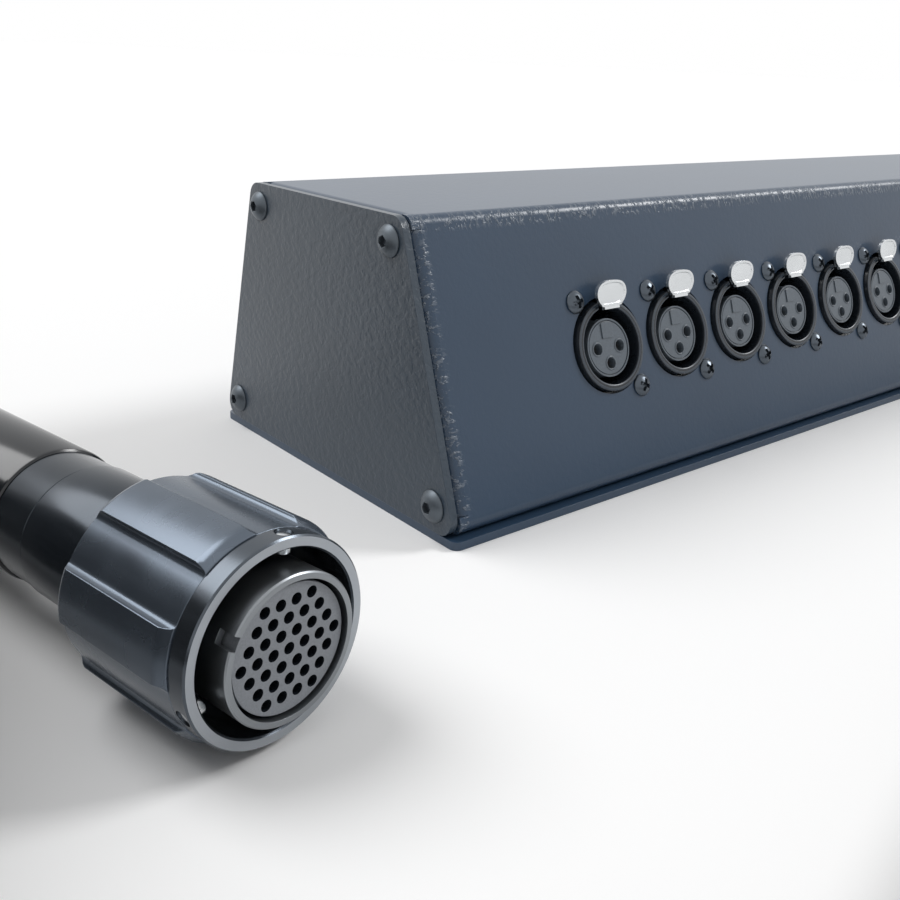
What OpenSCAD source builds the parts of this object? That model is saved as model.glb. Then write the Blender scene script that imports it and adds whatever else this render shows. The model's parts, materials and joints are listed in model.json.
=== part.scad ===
// Stage box: a bent sheet case with a row of latching panel sockets, and a multicore tail
// that ends in a round multipin plug. Millimetres throughout.
// X runs along the socket row, the sockets face -Y and Z is up.
// The origin is on the floor under the middle of the case.

/* [Case] */
// Length over both end plates
case_l = 412; // [400:1:500]
// Height over everything, base plate included
case_h = 71; // [66:0.5:90]
// Depth of the case at its foot
case_d = 107; // [100:1:150]
// How far the front face leans back from foot to top
front_lean = 22.5; // [14:0.5:26]
// How far the rear face leans in from foot to top
rear_lean = 16.5; // [8:0.5:22]
// Thickness of the bent cover sheet
sheet_t = 1.5; // [1.2:0.1:2]
// Thickness of the base plate
base_t = 2; // [1.5:0.1:3]
// Thickness of each end plate
end_t = 2; // [1.5:0.1:3]
// How far the base plate stands out beyond the cover, front and rear
base_lip = 0.4; // [0:0.1:1]
// Outside radius of every bend in the cover
bend_r = 3; // [2.5:0.1:4]
// Width of the cover's turned-in flanges
flange_w = 12; // [11:0.5:15]
// Corner radius of the end plates
end_corner_r = 4; // [3:0.5:6]
// Inset of the end plate screws from the edges of the plate
end_screw_inset = 6; // [5.5:0.1:7]

/* [Case screws] */
// Thread diameter of the end plate screws
end_screw_d = 5; // [4:1:5]
// Head diameter of the end plate screws
end_head_d = 9.5; // [8:0.5:10]
// Head height of the end plate screws
end_head_h = 2.7; // [2:0.1:3]
// Thread diameter of the countersunk base screws
base_screw_d = 4; // [3:0.5:4]
// Clearance round every screw thread, on the radius
screw_gap = 0.1; // [0.05:0.05:0.3]

/* [Sockets] */
// Number of sockets in the row
socket_n = 12; // [12]
// Free space between the mounting flanges of two sockets
flange_gap = 1; // [0.5:0.5:4]
// Height of the row, measured up the front face from its foot
row_up = 36; // [32:0.5:40]
// Outside diameter of the socket's ring
ring_d = 24.2; // [23.6:0.1:24.6]
// Wall of the ring, from its mouth to its outside
ring_wall = 2.5; // [2.4:0.1:2.8]
// How far the ring stands out of the panel
ring_out = 1.2; // [0.8:0.1:2]
// Radius of the rounded lip of the ring
lip_r = 1.1; // [0.6:0.1:1.2]
// Depth of the socket's cavity behind the panel face
cavity_l = 18.5; // [16:0.5:20]
// How far the mounting flange stands out beyond the ring on each side
flange_side = 0.9; // [0.5:0.1:1.1]
// How far the mounting flange stands out beyond the ring above and below
flange_ends = 3.4; // [3:0.1:4]
// Thickness of the mounting flange
flange_t = 2; // [1.6:0.1:3]
// Inset of the two screws from the edges of the mounting flange
screw_inset = 3.5; // [3.5:0.1:3.8]
// Free ring between the mouth and the insert that holds the contacts
entry_gap = 2.1; // [1.9:0.1:2.3]
// Radius of the circle that the three contacts stand on
contact_circle_r = 4; // [3.8:0.1:4.2]
// Diameter of each contact hole in the face of the insert
contact_hole_d = 2.9; // [2.6:0.1:3]
// Head diameter of the socket screws
socket_head_d = 5.8; // [5.4:0.1:6]
// Head height of the socket screws
socket_head_h = 2; // [1.6:0.1:2.4]

/* [Push tabs] */
// Width of the thumb plate
tab_w = 10.8; // [9:0.1:11]
// Height of the thumb plate
tab_h = 7.6; // [7:0.1:8]
// Thickness of the thumb plate
tab_t = 1.3; // [1:0.1:1.6]
// Width of the latch arm and its neck
arm_w = 4.8; // [4:0.1:5]
// Thickness of the latch arm
arm_t = 0.9; // [0.7:0.1:1]
// Free space on each side of the latch arm
arm_gap = 0.4; // [0.3:0.05:0.6]

/* [Multicore and gland] */
// Diameter of the multicore
cord_d = 17; // [17]
// Position of the gland across the end plate
gland_y = -4; // [-8:1:4]
// Height of the gland's axis
gland_z = 24; // [22:1:30]
// Wall of the gland's threaded stem round the multicore
gland_wall = 4; // [3.5:0.5:5]
// Step from the gland's thread out to the flats of its hexagons
gland_step = 2.5; // [2:0.5:4]
// Clearance of the multicore in the gland, on the radius
cord_gap = 0.2; // [0.1:0.05:0.4]

/* [Coil] */
// Number of turns in the coil, over all its layers
coil_turns = 13.5; // [13.5]
// Number of layers in the coil
coil_layers = 4; // [4]
// Radius of the outermost turn, at the middle of the cord
coil_r = 133; // [133]
// Free space between turns that lie side by side or on each other
turn_gap = 0.6; // [0.6]
// Thickness of the straps that hold the coil
strap_t = 1.6; // [1.2:0.1:2]
// Width of the straps
strap_w = 18; // [15:1:25]

/* [Plug] */
// Direction that the nose of the plug points in, from +X towards +Y
plug_heading = 280; // [280]
// Length of the plug behind the face of its coupling ring
plug_l = 130; // [130]
// Diameter over the lands of the coupling ring
coupling_d = 36.2; // [35.8:0.1:37]
// Length of the fluted part, sloped front included
fluted_l = 28.6; // [26:0.2:32]
// Number of lands on the fluted part
land_n = 6; // [5:1:8]
// Width of each flute, as an angle
flute_angle = 32; // [24:1:40]
// Depth of the flutes below the lands
flute_depth = 1.2; // [1:0.1:1.4]
// Radius in the corners of each flute
flute_fillet = 1.3; // [0.6:0.1:1.8]
// Turn of the first land about the plug's axis
first_land_angle = 20; // [0:1:60]
// Length of the slope at the front of the lands
land_slope_l = 2.4; // [1:0.1:3]
// Step from the floors of the flutes in to the smooth bayonet ring
bayonet_step = 0.05; // [0.05:0.05:0.2]
// Length of the smooth bayonet ring that shows
bayonet_l = 3.8; // [3.4:0.1:5]
// Wall of the bayonet ring
bayonet_wall = 2.05; // [2:0.05:2.3]
// Free ring between the bayonet ring and the plug's inner shell
nose_gap = 2.65; // [2.5:0.05:2.8]
// Wall of the plug's inner shell at its rim
shell_wall = 1.15; // [1:0.05:1.4]
// How far the inner shell stands out in front of the ring
shell_out = 3; // [2:0.5:4]
// Free ring between the shell's bore and the contact insert
disc_gap = 0.6; // [0.2:0.1:0.8]
// Edge left round the outermost contact holes
disc_edge = 0.63; // [0.5:0.01:1]
// Diameter of each contact hole
pin_hole_d = 1.9; // [1.7:0.05:2]
// Turn of the contact pattern about the plug's axis
contact_turn = 90; // [0:1:90]
// Diameter of the rivets that carry the bayonet pins
rivet_d = 2.9; // [2.4:0.1:3]
// Turn of the first bayonet pin about the plug's axis
first_pin_angle = 51; // [0:1:120]
// Turn of the key slot in the shell's rim about the plug's axis
key_angle = 242; // [0:1:359]
// Step from the collar of the plug's shell in to the backshell
backshell_step = 0.5; // [0.3:0.1:0.8]
// Length of the backshell, bare band included
backshell_l = 32; // [28:1:36]
// Length of the bare band at the rear of the backshell
band_l = 10.7; // [8:0.1:13]
// Step from the backshell out to the clamp sleeve
sleeve_step = 0.25; // [0:0.05:0.6]
// Length of the taper at the rear of the clamp sleeve
sleeve_taper_l = 16; // [12:1:20]

/* [Hidden] */
$fn = 64;
eps = 0.01;
cut = 1;
bend_steps = 6;
inner_bend_r = bend_r - sheet_t;

// Corners of the case's cross-section in Y and Z, from the front flange round to the rear one
corners = [
    [-case_d / 2 + flange_w, base_t],
    [-case_d / 2, base_t],
    [-case_d / 2 + front_lean, case_h],
    [case_d / 2 - rear_lean, case_h],
    [case_d / 2, base_t],
    [case_d / 2 - flange_w, base_t]
];
front_angle = atan2(case_h - base_t, front_lean);
half_l = case_l / 2;
cover_end_x = half_l - end_t;
straight_end_x = cover_end_x - bend_r;
relief = 1;

flange_x = ring_d + 2 * flange_side;
flange_y = ring_d + 2 * flange_ends;
socket_pitch = flange_x + flange_gap;
screw_dx = flange_x - 2 * screw_inset;
screw_dy = flange_y - 2 * screw_inset;
first_socket_x = -(socket_n - 1) * socket_pitch / 2;
mouth_d = ring_d - 2 * ring_wall;
insert_d = mouth_d - 2 * entry_gap;
panel_hole_r = ring_d / 2 + 0.4;
flange_top_z = -sheet_t;
flange_back_z = -sheet_t - flange_t;
floor_t = 2;
shell_back_z = -cavity_l - floor_t;
tail_l = 3.5;
socket_screw_d = 3;
socket_screw_l = 8;
contact_r = contact_hole_d / 2 - 0.05;
insert_face_z = -0.8;
contact_angles = [0, 180, 270];

arm_y = mouth_d / 2 + 0.3;
arm_back_z = -9.6;
pivot_y = arm_y + arm_t / 2;
pivot_z = -9;
pivot_r = 0.6;
pivot_l = arm_w + 2 * arm_gap + 2.4;
pivot_gap = 0.05;
barrel_r = ring_d / 2 - 0.1;
tab_under_z = 3.1;
tab_low_y = ring_d / 2 + 0.9;

gland_thread_d = cord_d + 2 * gland_wall;
gland_af = gland_thread_d + 2 * gland_step;
gland_collar_r = gland_thread_d / 2 + 1;
gland_face_x = half_l;
gland_hex_l = 6;
gland_collar_l = 10;
gland_nut_l = 27;
gland_end_x = gland_face_x + gland_hex_l + 1 + gland_nut_l;
gland_thread_in = 12;
locknut_t = 5;
sheath_in_x = half_l - 24;
sheath_out_x = half_l + 2;
loom_r = 7;
branch_r = 4.6;

cord_r = cord_d / 2;
coil_step = cord_d + turn_gap;
coil_centre = [-455, -10];
coil_floor = 2.1;
coil_z = coil_floor + cord_r;
coil_start_angle = 90;
turns_per_layer = coil_turns / coil_layers;
rings_per_turn = 24;
coil_in_r = coil_r - coil_step * turns_per_layer;
coil_top_z = coil_z + coil_step * (coil_layers - 1);
coil_exit_x = coil_centre[0] + cord_d;
strap_angles = [0, 90, 180, 270];
strap_clear = [1.2, 0.6, 0.35];

plug_tail = [-291, 38.5];
plug_z = coupling_d / 2 + 0.1;
flute_floor_d = coupling_d - 2 * flute_depth;
bayonet_d = flute_floor_d - 2 * bayonet_step;
bayonet_mouth_d = bayonet_d - 2 * bayonet_wall;
shell_d = bayonet_mouth_d - 2 * nose_gap;
disc_d = shell_d - 2 * shell_wall - 2 * disc_gap;
pin_pitch = (disc_d / 2 - disc_edge - pin_hole_d / 2) / 3;
collar_r = shell_d / 2 + 1.05;
collar_gap = 0.3;
retainer_r = collar_r + 1.2;
backshell_d = 2 * (collar_r - backshell_step);
sleeve_d = backshell_d + 2 * sleeve_step;
web_back_z = -bayonet_l - fluted_l;
web_l = 10.6;
web_front_z = web_back_z + web_l;
retainer_t = 1.4;
retainer_back_z = web_front_z + 1.4;
shell_back_plug_z = web_back_z - collar_gap;
sleeve_front_z = shell_back_plug_z - backshell_l;
insert_back_z = -12;
insert_sink = 0.8;
shell_floor_t = 2.5;
spigot_r = bayonet_d / 2 - 1;
spigot_gap = 0.15;
spigot_l = 9.2;
rivet_z = -2.1;
rivet_in_r = shell_d / 2 + 1.3;
rivet_sink = 0.4;

// The multicore from the gland to the coil
run_route = [
    [sheath_out_x, gland_y, gland_z], [gland_end_x, gland_y, gland_z], [257, -4, 24], [281, -7, 23],
    [302, -18, 20], [318, -36, 16], [326, -60, 12], [326, -84, 10], [318, -108, 9], [302, -126, 8.6],
    [281, -138, 8.6], [257, -142, 8.6], [225, -142, 8.6], [190, -142, 8.6], [150, -142, 8.6], [110, -142, 8.6],
    [70, -143, 8.6], [30, -145, 8.6], [-10, -148, 8.6], [-50, -152, 8.6], [-90, -157, 8.6], [-130, -163, 8.6],
    [-168, -170.5, 8.6], [-205, -179, 8.6], [-243, -186, 8.6], [-280, -187, 8.6], [-314, -181.5, 8.6],
    [-345, -171, 8.6], [-374, -158.5, 8.8], [-400, -147.5, 9.6],
    [-421, coil_centre[1] - coil_r, coil_z], [coil_exit_x, coil_centre[1] - coil_r, coil_z]
];
// The multicore from the plug to the coil
lead_route = [
    [plug_tail[0], plug_tail[1], plug_z],
    [plug_tail[0] - cord_d * cos(plug_heading), plug_tail[1] - cord_d * sin(plug_heading), plug_z],
    [-298, 69, 19.2], [-304, 82, 22], [-312, 93.7, 26.2], [-322, 103.8, 31.4], [-334, 112, 37.3],
    [-347, 118, 43.3], [-361, 121.8, 49.1], [-375, 123, 54.6], [-390, 123, 59.2], [-405, 123, 62.2],
    [-421, coil_centre[1] + coil_r, coil_top_z], [coil_exit_x, coil_centre[1] + coil_r, coil_top_z]
];

function two_digits(i) = i < 10 ? str("0", i) : str(i);
function socket_names(part) = [for (i = [1:socket_n]) str(part, "_", two_digits(i))];

// Plane geometry of the bent sheet. The corners run clockwise, so inward is to the right.
function unit(v) = v / norm(v);
function inward(u) = [u[1], -u[0]];
function run_dir(p, i) = unit(p[i + 1] - p[i]);
function turn_at(p, i) = acos(run_dir(p, i - 1) * run_dir(p, i));
function tangent_len(p, i, r) = r * tan(turn_at(p, i) / 2);
function bend_centre(p, i, r) =
    p[i] - run_dir(p, i - 1) * tangent_len(p, i, r) + inward(run_dir(p, i - 1)) * r;
function bend_arc(p, i, r, arc_r) =
    let (out = -inward(run_dir(p, i - 1)), a = atan2(out[1], out[0]), c = bend_centre(p, i, r))
    [for (k = [0:bend_steps]) let (b = a - turn_at(p, i) * k / bend_steps) c + arc_r * [cos(b), sin(b)]];
function bend_arcs(p, r, arc_r) = [for (i = [1:4]) each bend_arc(p, i, r, arc_r)];
function reversed(list) = [for (i = [len(list) - 1:-1:0]) list[i]];
function arc(c, r, a0, a1, n) = [for (k = [0:n]) let (a = a0 + (a1 - a0) * k / n) c + r * [cos(a), sin(a)]];
function rounded_box(w, h, r, n) = concat(
    arc([w / 2 - r, h / 2 - r], r, 0, 90, n), arc([r - w / 2, h / 2 - r], r, 90, 180, n),
    arc([r - w / 2, r - h / 2], r, 180, 270, n), arc([w / 2 - r, r - h / 2], r, 270, 360, n)
);
function front_y(z) = corners[1][0] + (z - base_t) * front_lean / (case_h - base_t);
function rear_y(z) = corners[4][0] - (z - base_t) * rear_lean / (case_h - base_t);
function socket_x(i) = first_socket_x + (i - 1) * socket_pitch;

// Section of the case in the Y Z plane, stood up along X
module along_x(x0, x1) {
    translate([x0, 0, 0]) rotate([90, 0, 90]) linear_extrude(x1 - x0) children();
}

// Local frame on one panel of the cover: y is inward and z runs along the panel
module on_panel(i) {
    u = run_dir(corners, i);
    translate([0, corners[i][0], corners[i][1]]) rotate([atan2(-u[0], u[1]), 0, 0]) children();
}

// Local frame of the socket row: y is up the face and z points out of it
module on_front() {
    translate([0, corners[1][0], base_t]) rotate([front_angle, 0, 0]) translate([0, row_up, 0]) children();
}

module at_socket(i) {
    translate([socket_x(i), 0, 0]) on_front() children();
}

module at_socket_screws() {
    translate([-screw_dx / 2, screw_dy / 2, 0]) children();
    translate([screw_dx / 2, -screw_dy / 2, 0]) children();
}

// Each end plate's four screws: z points out of the left-hand plate
module at_end_screws() {
    for (z = [base_t + end_screw_inset, case_h - end_screw_inset])
        for (y = [front_y(z) + end_screw_inset, rear_y(z) - end_screw_inset])
            translate([-half_l, y, z]) rotate([0, -90, 0]) children();
}

module at_base_screws() {
    front = corners[1][0] + flange_w - 5.5;
    rear = corners[4][0] - flange_w + 5.5;
    for (x = [-half_l + 30, 0, half_l - 30]) for (y = [front, rear]) translate([x, y, 0]) children();
}

// The turned-in edge at the right-hand end of one panel
module end_return(i) {
    start = tangent_len(corners, i, bend_r) + relief;
    length = norm(corners[i + 1] - corners[i]) - start - tangent_len(corners, i + 1, bend_r) - relief;
    on_panel(i) translate([straight_end_x, 0, start]) linear_extrude(length) polygon(concat(
        [[-cut, 0]], arc([0, bend_r], bend_r, 270, 360, bend_steps),
        [[bend_r, flange_w], [inner_bend_r, flange_w]],
        arc([0, bend_r], inner_bend_r, 360, 270, bend_steps), [[-cut, sheet_t]]
    ));
}

module cover() {
    color("#4d5967") difference() {
        union() {
            along_x(-straight_end_x, straight_end_x) polygon(concat(
                [corners[0]], bend_arcs(corners, bend_r, bend_r), [corners[5]],
                [corners[5] + [0, sheet_t]], reversed(bend_arcs(corners, bend_r, inner_bend_r)),
                [corners[0] + [0, sheet_t]]
            ));
            for (i = [1:3]) {
                end_return(i);
                mirror([1, 0, 0]) end_return(i);
            }
        }
        for (i = [1:socket_n]) at_socket(i) {
            translate([0, 0, -sheet_t - cut]) cylinder(r = panel_hole_r, h = sheet_t + 2 * cut);
            at_socket_screws() translate([0, 0, -sheet_t - cut])
                cylinder(r = socket_screw_d / 2 + screw_gap, h = sheet_t + 2 * cut);
        }
        for (m = [0, 1]) mirror([m, 0, 0]) at_end_screws() translate([0, 0, -end_t - sheet_t - cut])
            cylinder(r = end_screw_d / 2 + screw_gap, h = end_t + sheet_t + cut);
        at_base_screws() cylinder(r = base_screw_d / 2 + screw_gap, h = base_t + sheet_t + cut);
    }
}

module base_plate() {
    hole_r = base_screw_d / 2 + screw_gap;
    color("#434e5c") difference() {
        linear_extrude(base_t) polygon(rounded_box(case_l, case_d + 2 * base_lip, 2, 4));
        at_base_screws() {
            translate([0, 0, -eps])
                cylinder(r1 = base_screw_d + screw_gap + eps, r2 = hole_r, h = base_screw_d / 2 + eps);
            cylinder(r = hole_r, h = base_t + cut);
        }
    }
}

module end_plate(gland_hole) {
    along_x(-half_l, -half_l + end_t) difference() {
        polygon(bend_arcs(corners, end_corner_r, end_corner_r));
        for (z = [base_t + end_screw_inset, case_h - end_screw_inset])
            for (y = [front_y(z) + end_screw_inset, rear_y(z) - end_screw_inset])
                translate([y, z]) circle(r = end_screw_d / 2 + screw_gap);
        if (gland_hole) translate([gland_y, gland_z]) circle(r = gland_thread_d / 2 + screw_gap);
    }
}

module end_plate_left() {
    color("#6b7279") end_plate(false);
}

module end_plate_right() {
    color("#6b7279") mirror([1, 0, 0]) end_plate(true);
}

// A domed screw head standing on z = 0 with a plain shank below it
module domed_screw(head_d, head_h, shank_d, shank_l) {
    dome_r = (pow(head_d / 2, 2) + pow(head_h, 2)) / (2 * head_h);
    rise = asin(head_d / 2 / dome_r);
    rotate_extrude() polygon(concat(
        [[0, -shank_l], [shank_d / 2, -shank_l], [shank_d / 2, 0]],
        [for (k = [0:5]) let (a = rise * (1 - k / 5)) [dome_r * sin(a), head_h - dome_r * (1 - cos(a))]]
    ));
}

module case_screws() {
    color("#3a4048") for (m = [0, 1]) mirror([m, 0, 0]) at_end_screws() difference() {
        domed_screw(end_head_d, end_head_h, end_screw_d, end_t + sheet_t + 5);
        translate([0, 0, end_head_h - 1.6]) cylinder(d = 3.46, h = 3, $fn = 6);
    }
    color("#3a4048") at_base_screws() translate([0, 0, 0.05]) rotate_extrude() polygon([
        [0, 0], [base_screw_d - 0.1, 0], [base_screw_d / 2, base_screw_d / 2 - 0.1],
        [base_screw_d / 2, base_t + 6], [0, base_t + 6]
    ]);
}

module socket_screws() {
    color("#2b3036") for (i = [1:socket_n]) at_socket(i) at_socket_screws()
        domed_screw(socket_head_d, socket_head_h, socket_screw_d, socket_screw_l);
}

// Slot that the latch arm lies in: it opens towards the mouth and widens to the front
module latch_slot() {
    rotate([90, 0, 90]) translate([0, 0, -arm_w / 2 - arm_gap]) linear_extrude(arm_w + 2 * arm_gap) polygon([
        [mouth_d / 2 - 1, arm_back_z - 1], [arm_y + arm_t + arm_gap, arm_back_z - 1],
        [panel_hole_r + 0.3, ring_out - 0.4], [panel_hole_r + 0.3, ring_out + cut],
        [mouth_d / 2 - 1, ring_out + cut]
    ]);
}

module socket_shell(i) {
    mouth_r = mouth_d / 2;
    color("#1f242a") at_socket(i) difference() {
        union() {
            rotate_extrude() polygon(concat(
                [[0, shell_back_z], [barrel_r, shell_back_z], [barrel_r, flange_back_z]],
                [[ring_d / 2, flange_back_z], [ring_d / 2, ring_out - lip_r]],
                arc([ring_d / 2 - lip_r, ring_out - lip_r], lip_r, 0, 90, 4),
                arc([mouth_r + lip_r, ring_out - lip_r], lip_r, 90, 180, 4),
                [[mouth_r, -cavity_l], [0, -cavity_l]]
            ));
            translate([0, 0, flange_back_z]) linear_extrude(flange_t) difference() {
                polygon(rounded_box(flange_x, flange_y, 3, 4));
                circle(r = mouth_r + 1);
            }
        }
        latch_slot();
        translate([-pivot_l / 2 - pivot_gap, pivot_y, pivot_z]) rotate([0, 90, 0])
            cylinder(r = pivot_r + pivot_gap, h = pivot_l + 2 * pivot_gap);
        at_socket_screws() translate([0, 0, flange_back_z - cut])
            cylinder(r = socket_screw_d / 2 + screw_gap, h = flange_t + 2 * cut);
        for (a = contact_angles) rotate(a) translate([contact_circle_r, 0, shell_back_z - cut])
            cylinder(r = contact_r + screw_gap, h = floor_t + 2 * cut);
    }
}

module socket_insert(i) {
    keyway_w = 5.2;
    keyway_low = 2.6;
    color("#2f353c") at_socket(i) difference() {
        rotate_extrude() polygon([
            [0, -cavity_l], [insert_d / 2, -cavity_l], [insert_d / 2, insert_face_z - 0.4],
            [insert_d / 2 - 0.4, insert_face_z], [0, insert_face_z]
        ]);
        for (a = contact_angles) rotate(a) translate([contact_circle_r, 0, -cavity_l - cut])
            cylinder(d = contact_hole_d, h = cavity_l + 2 * cut);
        translate([-keyway_w / 2, keyway_low, insert_face_z - 0.4]) cube([keyway_w, insert_d, 1]);
    }
}

module push_tab(i) {
    neck = [[arm_y, arm_back_z], [arm_y + arm_t, arm_back_z], [arm_y + arm_t, 1], [tab_low_y, tab_under_z],
        [tab_low_y + 0.6, tab_under_z], [tab_low_y + 0.6, tab_under_z + tab_t],
        [tab_low_y - 0.4, tab_under_z + tab_t], [arm_y, 2], [arm_y, -4], [arm_y - 0.9, -6.2], [arm_y, -6.8]];
    color("#d8dbde") at_socket(i) {
        rotate([90, 0, 90]) translate([0, 0, -arm_w / 2]) linear_extrude(arm_w) polygon(neck);
        translate([-pivot_l / 2, pivot_y, pivot_z]) rotate([0, 90, 0]) cylinder(r = pivot_r, h = pivot_l);
        translate([0, tab_low_y + tab_h / 2, tab_under_z]) linear_extrude(tab_t) polygon(concat(
            arc([tab_w / 2 - 3.6, tab_h / 2 - 3.6], 3.6, 0, 90, 6),
            arc([3.6 - tab_w / 2, tab_h / 2 - 3.6], 3.6, 90, 180, 6),
            arc([2.6 - tab_w / 2, 2.6 - tab_h / 2], 2.6, 180, 270, 4),
            arc([tab_w / 2 - 2.6, 2.6 - tab_h / 2], 2.6, 270, 360, 4)
        ));
    }
}

// Sleeve contacts: a tube in the insert with a solder tail through the floor of the shell
module socket_contacts() {
    color("#c9a45c") for (i = [1:socket_n]) at_socket(i) for (a = contact_angles)
        rotate(a) translate([contact_circle_r, 0, 0]) rotate_extrude() polygon([
            [0, shell_back_z - tail_l], [contact_r, shell_back_z - tail_l], [contact_r, -3],
            [contact_r - 0.25, -3], [contact_r - 0.25, -cavity_l], [0, -cavity_l]
        ]);
}

// The stripped multicore inside the case: a trunk with one branch to each socket
module wiring_loom() {
    axis_y = corners[1][0] + row_up * cos(front_angle);
    axis_z = base_t + row_up * sin(front_angle);
    reach = (gland_y - axis_y) * sin(front_angle) + (axis_z - gland_z) * cos(front_angle);
    branch_start = -shell_back_z + tail_l + 0.3;
    color("#22262b") {
        translate([first_socket_x - 10, gland_y, gland_z]) rotate([0, 90, 0])
            cylinder(r = loom_r, h = sheath_in_x - first_socket_x + 11);
        translate([sheath_in_x, gland_y, gland_z]) rotate([0, 90, 0])
            cylinder(r = cord_r, h = sheath_out_x - sheath_in_x);
        for (i = [1:socket_n]) at_socket(i) translate([0, 0, -reach])
            cylinder(r = branch_r, h = reach - branch_start);
    }
}

module at_gland() {
    translate([gland_face_x, gland_y, gland_z]) rotate([0, 90, 0]) children();
}

module gland_body() {
    color("#b9bdc1") at_gland() difference() {
        union() {
            cylinder(d = gland_af / cos(30), h = gland_hex_l, $fn = 6);
            translate([0, 0, -gland_thread_in]) cylinder(d = gland_thread_d, h = gland_thread_in + cut);
            cylinder(r = gland_collar_r, h = gland_hex_l + gland_collar_l);
        }
        translate([0, 0, -gland_thread_in - cut])
            cylinder(r = cord_r + cord_gap, h = gland_thread_in + gland_hex_l + gland_collar_l + 2 * cut);
    }
}

module gland_nut() {
    nut_z = gland_hex_l + 1;
    hex_end = 14;
    face_r = gland_af / 2 - 0.4;
    dome = [[cord_r + 4.9, 22], [cord_r + 3.3, 25.4], [cord_r + 1.9, gland_nut_l]];
    color("#b9bdc1") at_gland() translate([0, 0, nut_z]) difference() {
        union() {
            cylinder(d = gland_af / cos(30), h = hex_end, $fn = 6);
            rotate_extrude()
                polygon(concat([[0, 0], [face_r, 0], [face_r, hex_end + 3]], dome, [[0, gland_nut_l]]));
        }
        translate([0, 0, -cut]) cylinder(r = gland_collar_r + cord_gap, h = gland_collar_l + cut);
        cylinder(r = cord_r + cord_gap, h = gland_nut_l + cut);
    }
}

module gland_locknut() {
    color("#b9bdc1") at_gland() translate([0, 0, -end_t - locknut_t]) difference() {
        cylinder(d = (gland_af + 2) / cos(30), h = locknut_t, $fn = 6);
        translate([0, 0, -cut]) cylinder(d = gland_thread_d + 2 * screw_gap, h = locknut_t + 2 * cut);
    }
}

// A tube swept along a list of points, as one closed mesh of triangles
function route_dir(p, i) = unit(p[min(i + 1, len(p) - 1)] - p[max(i - 1, 0)]);
function ring_at(p, i, r, n) =
    let (t = route_dir(p, i), side = unit(cross(t, [0, 0, 1])), up = cross(side, t))
    [for (k = [0:n - 1]) let (a = 90 + 360 * k / n) p[i] + r * (cos(a) * side + sin(a) * up)];
module swept_tube(p, r, n) {
    last = len(p) - 1;
    polyhedron(
        points = [for (i = [0:last]) each ring_at(p, i, r, n)],
        faces = concat(
            [for (i = [0:last - 1]) for (k = [0:n - 1]) let (a = i * n + k, b = i * n + (k + 1) % n) each
                [[a, b, a + n], [b, b + n, a + n]]],
            [for (k = [1:n - 2]) [0, k + 1, k]],
            [for (k = [1:n - 2]) [last * n, last * n + k, last * n + k + 1]]
        )
    );
}

// The coil starts at the top and winds in, out, in and out again, one layer lower each time
function fold(u) = abs(u - 2 * turns_per_layer * round(u / (2 * turns_per_layer)));
function coil_radius(u) = coil_r - coil_step * fold(u);
function ease(x) = let (c = max(0, min(1, x))) c * c * (3 - 2 * c);
function coil_drop(u, k = 1) = k == coil_layers ? 0
    : ease((u - k * turns_per_layer + 0.25) / 0.5) + coil_drop(u, k + 1);
function coil_point(u) = let (a = coil_start_angle + 360 * u) [
    coil_centre[0] + coil_radius(u) * cos(a), coil_centre[1] + coil_radius(u) * sin(a),
    coil_top_z - coil_step * coil_drop(u)
];
coil_steps = coil_turns * rings_per_turn;
coil_route = concat(
    [[coil_exit_x, coil_centre[1] + coil_r, coil_top_z]],
    [for (k = [0:coil_steps]) coil_point(k / rings_per_turn)],
    [[coil_exit_x, coil_centre[1] - coil_r, coil_z]]
);
// Least distance between the surfaces of two turns, over points more than two thirds of a turn apart
function coil_self_gap() = min([for (i = [0:len(coil_route) - 1]) for (j = [i + 16:1:len(coil_route) - 1])
    norm(coil_route[i] - coil_route[j])]) - cord_d;
function sum(list) = list * [for (x = list) 1];
function route_length(p) = sum([for (i = [0:len(p) - 2]) norm(p[i + 1] - p[i])]);
echo(least_coil_gap = coil_self_gap());
echo(multicore_length = route_length(run_route) + route_length(coil_route) + route_length(lead_route));

module multicore_run() {
    color("#23272c") swept_tube(run_route, cord_r, 10);
}

module multicore_lead() {
    color("#23272c") swept_tube(lead_route, cord_r, 10);
}

module multicore_coil() {
    color("#23272c") swept_tube(coil_route, cord_r, 6);
}

module coil_straps() {
    low = coil_floor - strap_clear[2];
    high = coil_top_z + cord_r + strap_clear[2];
    in_r = coil_in_r - cord_r - strap_clear[0];
    out_r = coil_r + cord_r + strap_clear[1];
    mid = [(in_r + out_r) / 2, (low + high) / 2];
    color("#15181b") for (a = strap_angles) translate([coil_centre[0], coil_centre[1], 0]) rotate(a)
        rotate([90, 0, 0]) translate([0, 0, -strap_w / 2]) linear_extrude(strap_w) translate(mid) difference() {
            polygon(rounded_box(out_r - in_r + 2 * strap_t, high - low + 2 * strap_t, 3, 4));
            polygon(rounded_box(out_r - in_r, high - low, 1.4, 4));
        }
}

// Local frame of the plug: z points out of its nose, from the front face of the bayonet ring
module at_plug() {
    nose = plug_tail + plug_l * [cos(plug_heading), sin(plug_heading)];
    translate([nose[0], nose[1], plug_z]) rotate([0, 0, plug_heading]) rotate([0, 90, 0]) children();
}

// Places of the 37 contacts: a hexagon of seven rows
module at_contacts() {
    rotate(contact_turn) for (row = [-3:3]) for (k = [0:6 - abs(row)])
        translate([(k - (6 - abs(row)) / 2) * pin_pitch, row * pin_pitch * sin(60), 0]) children();
}

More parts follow.
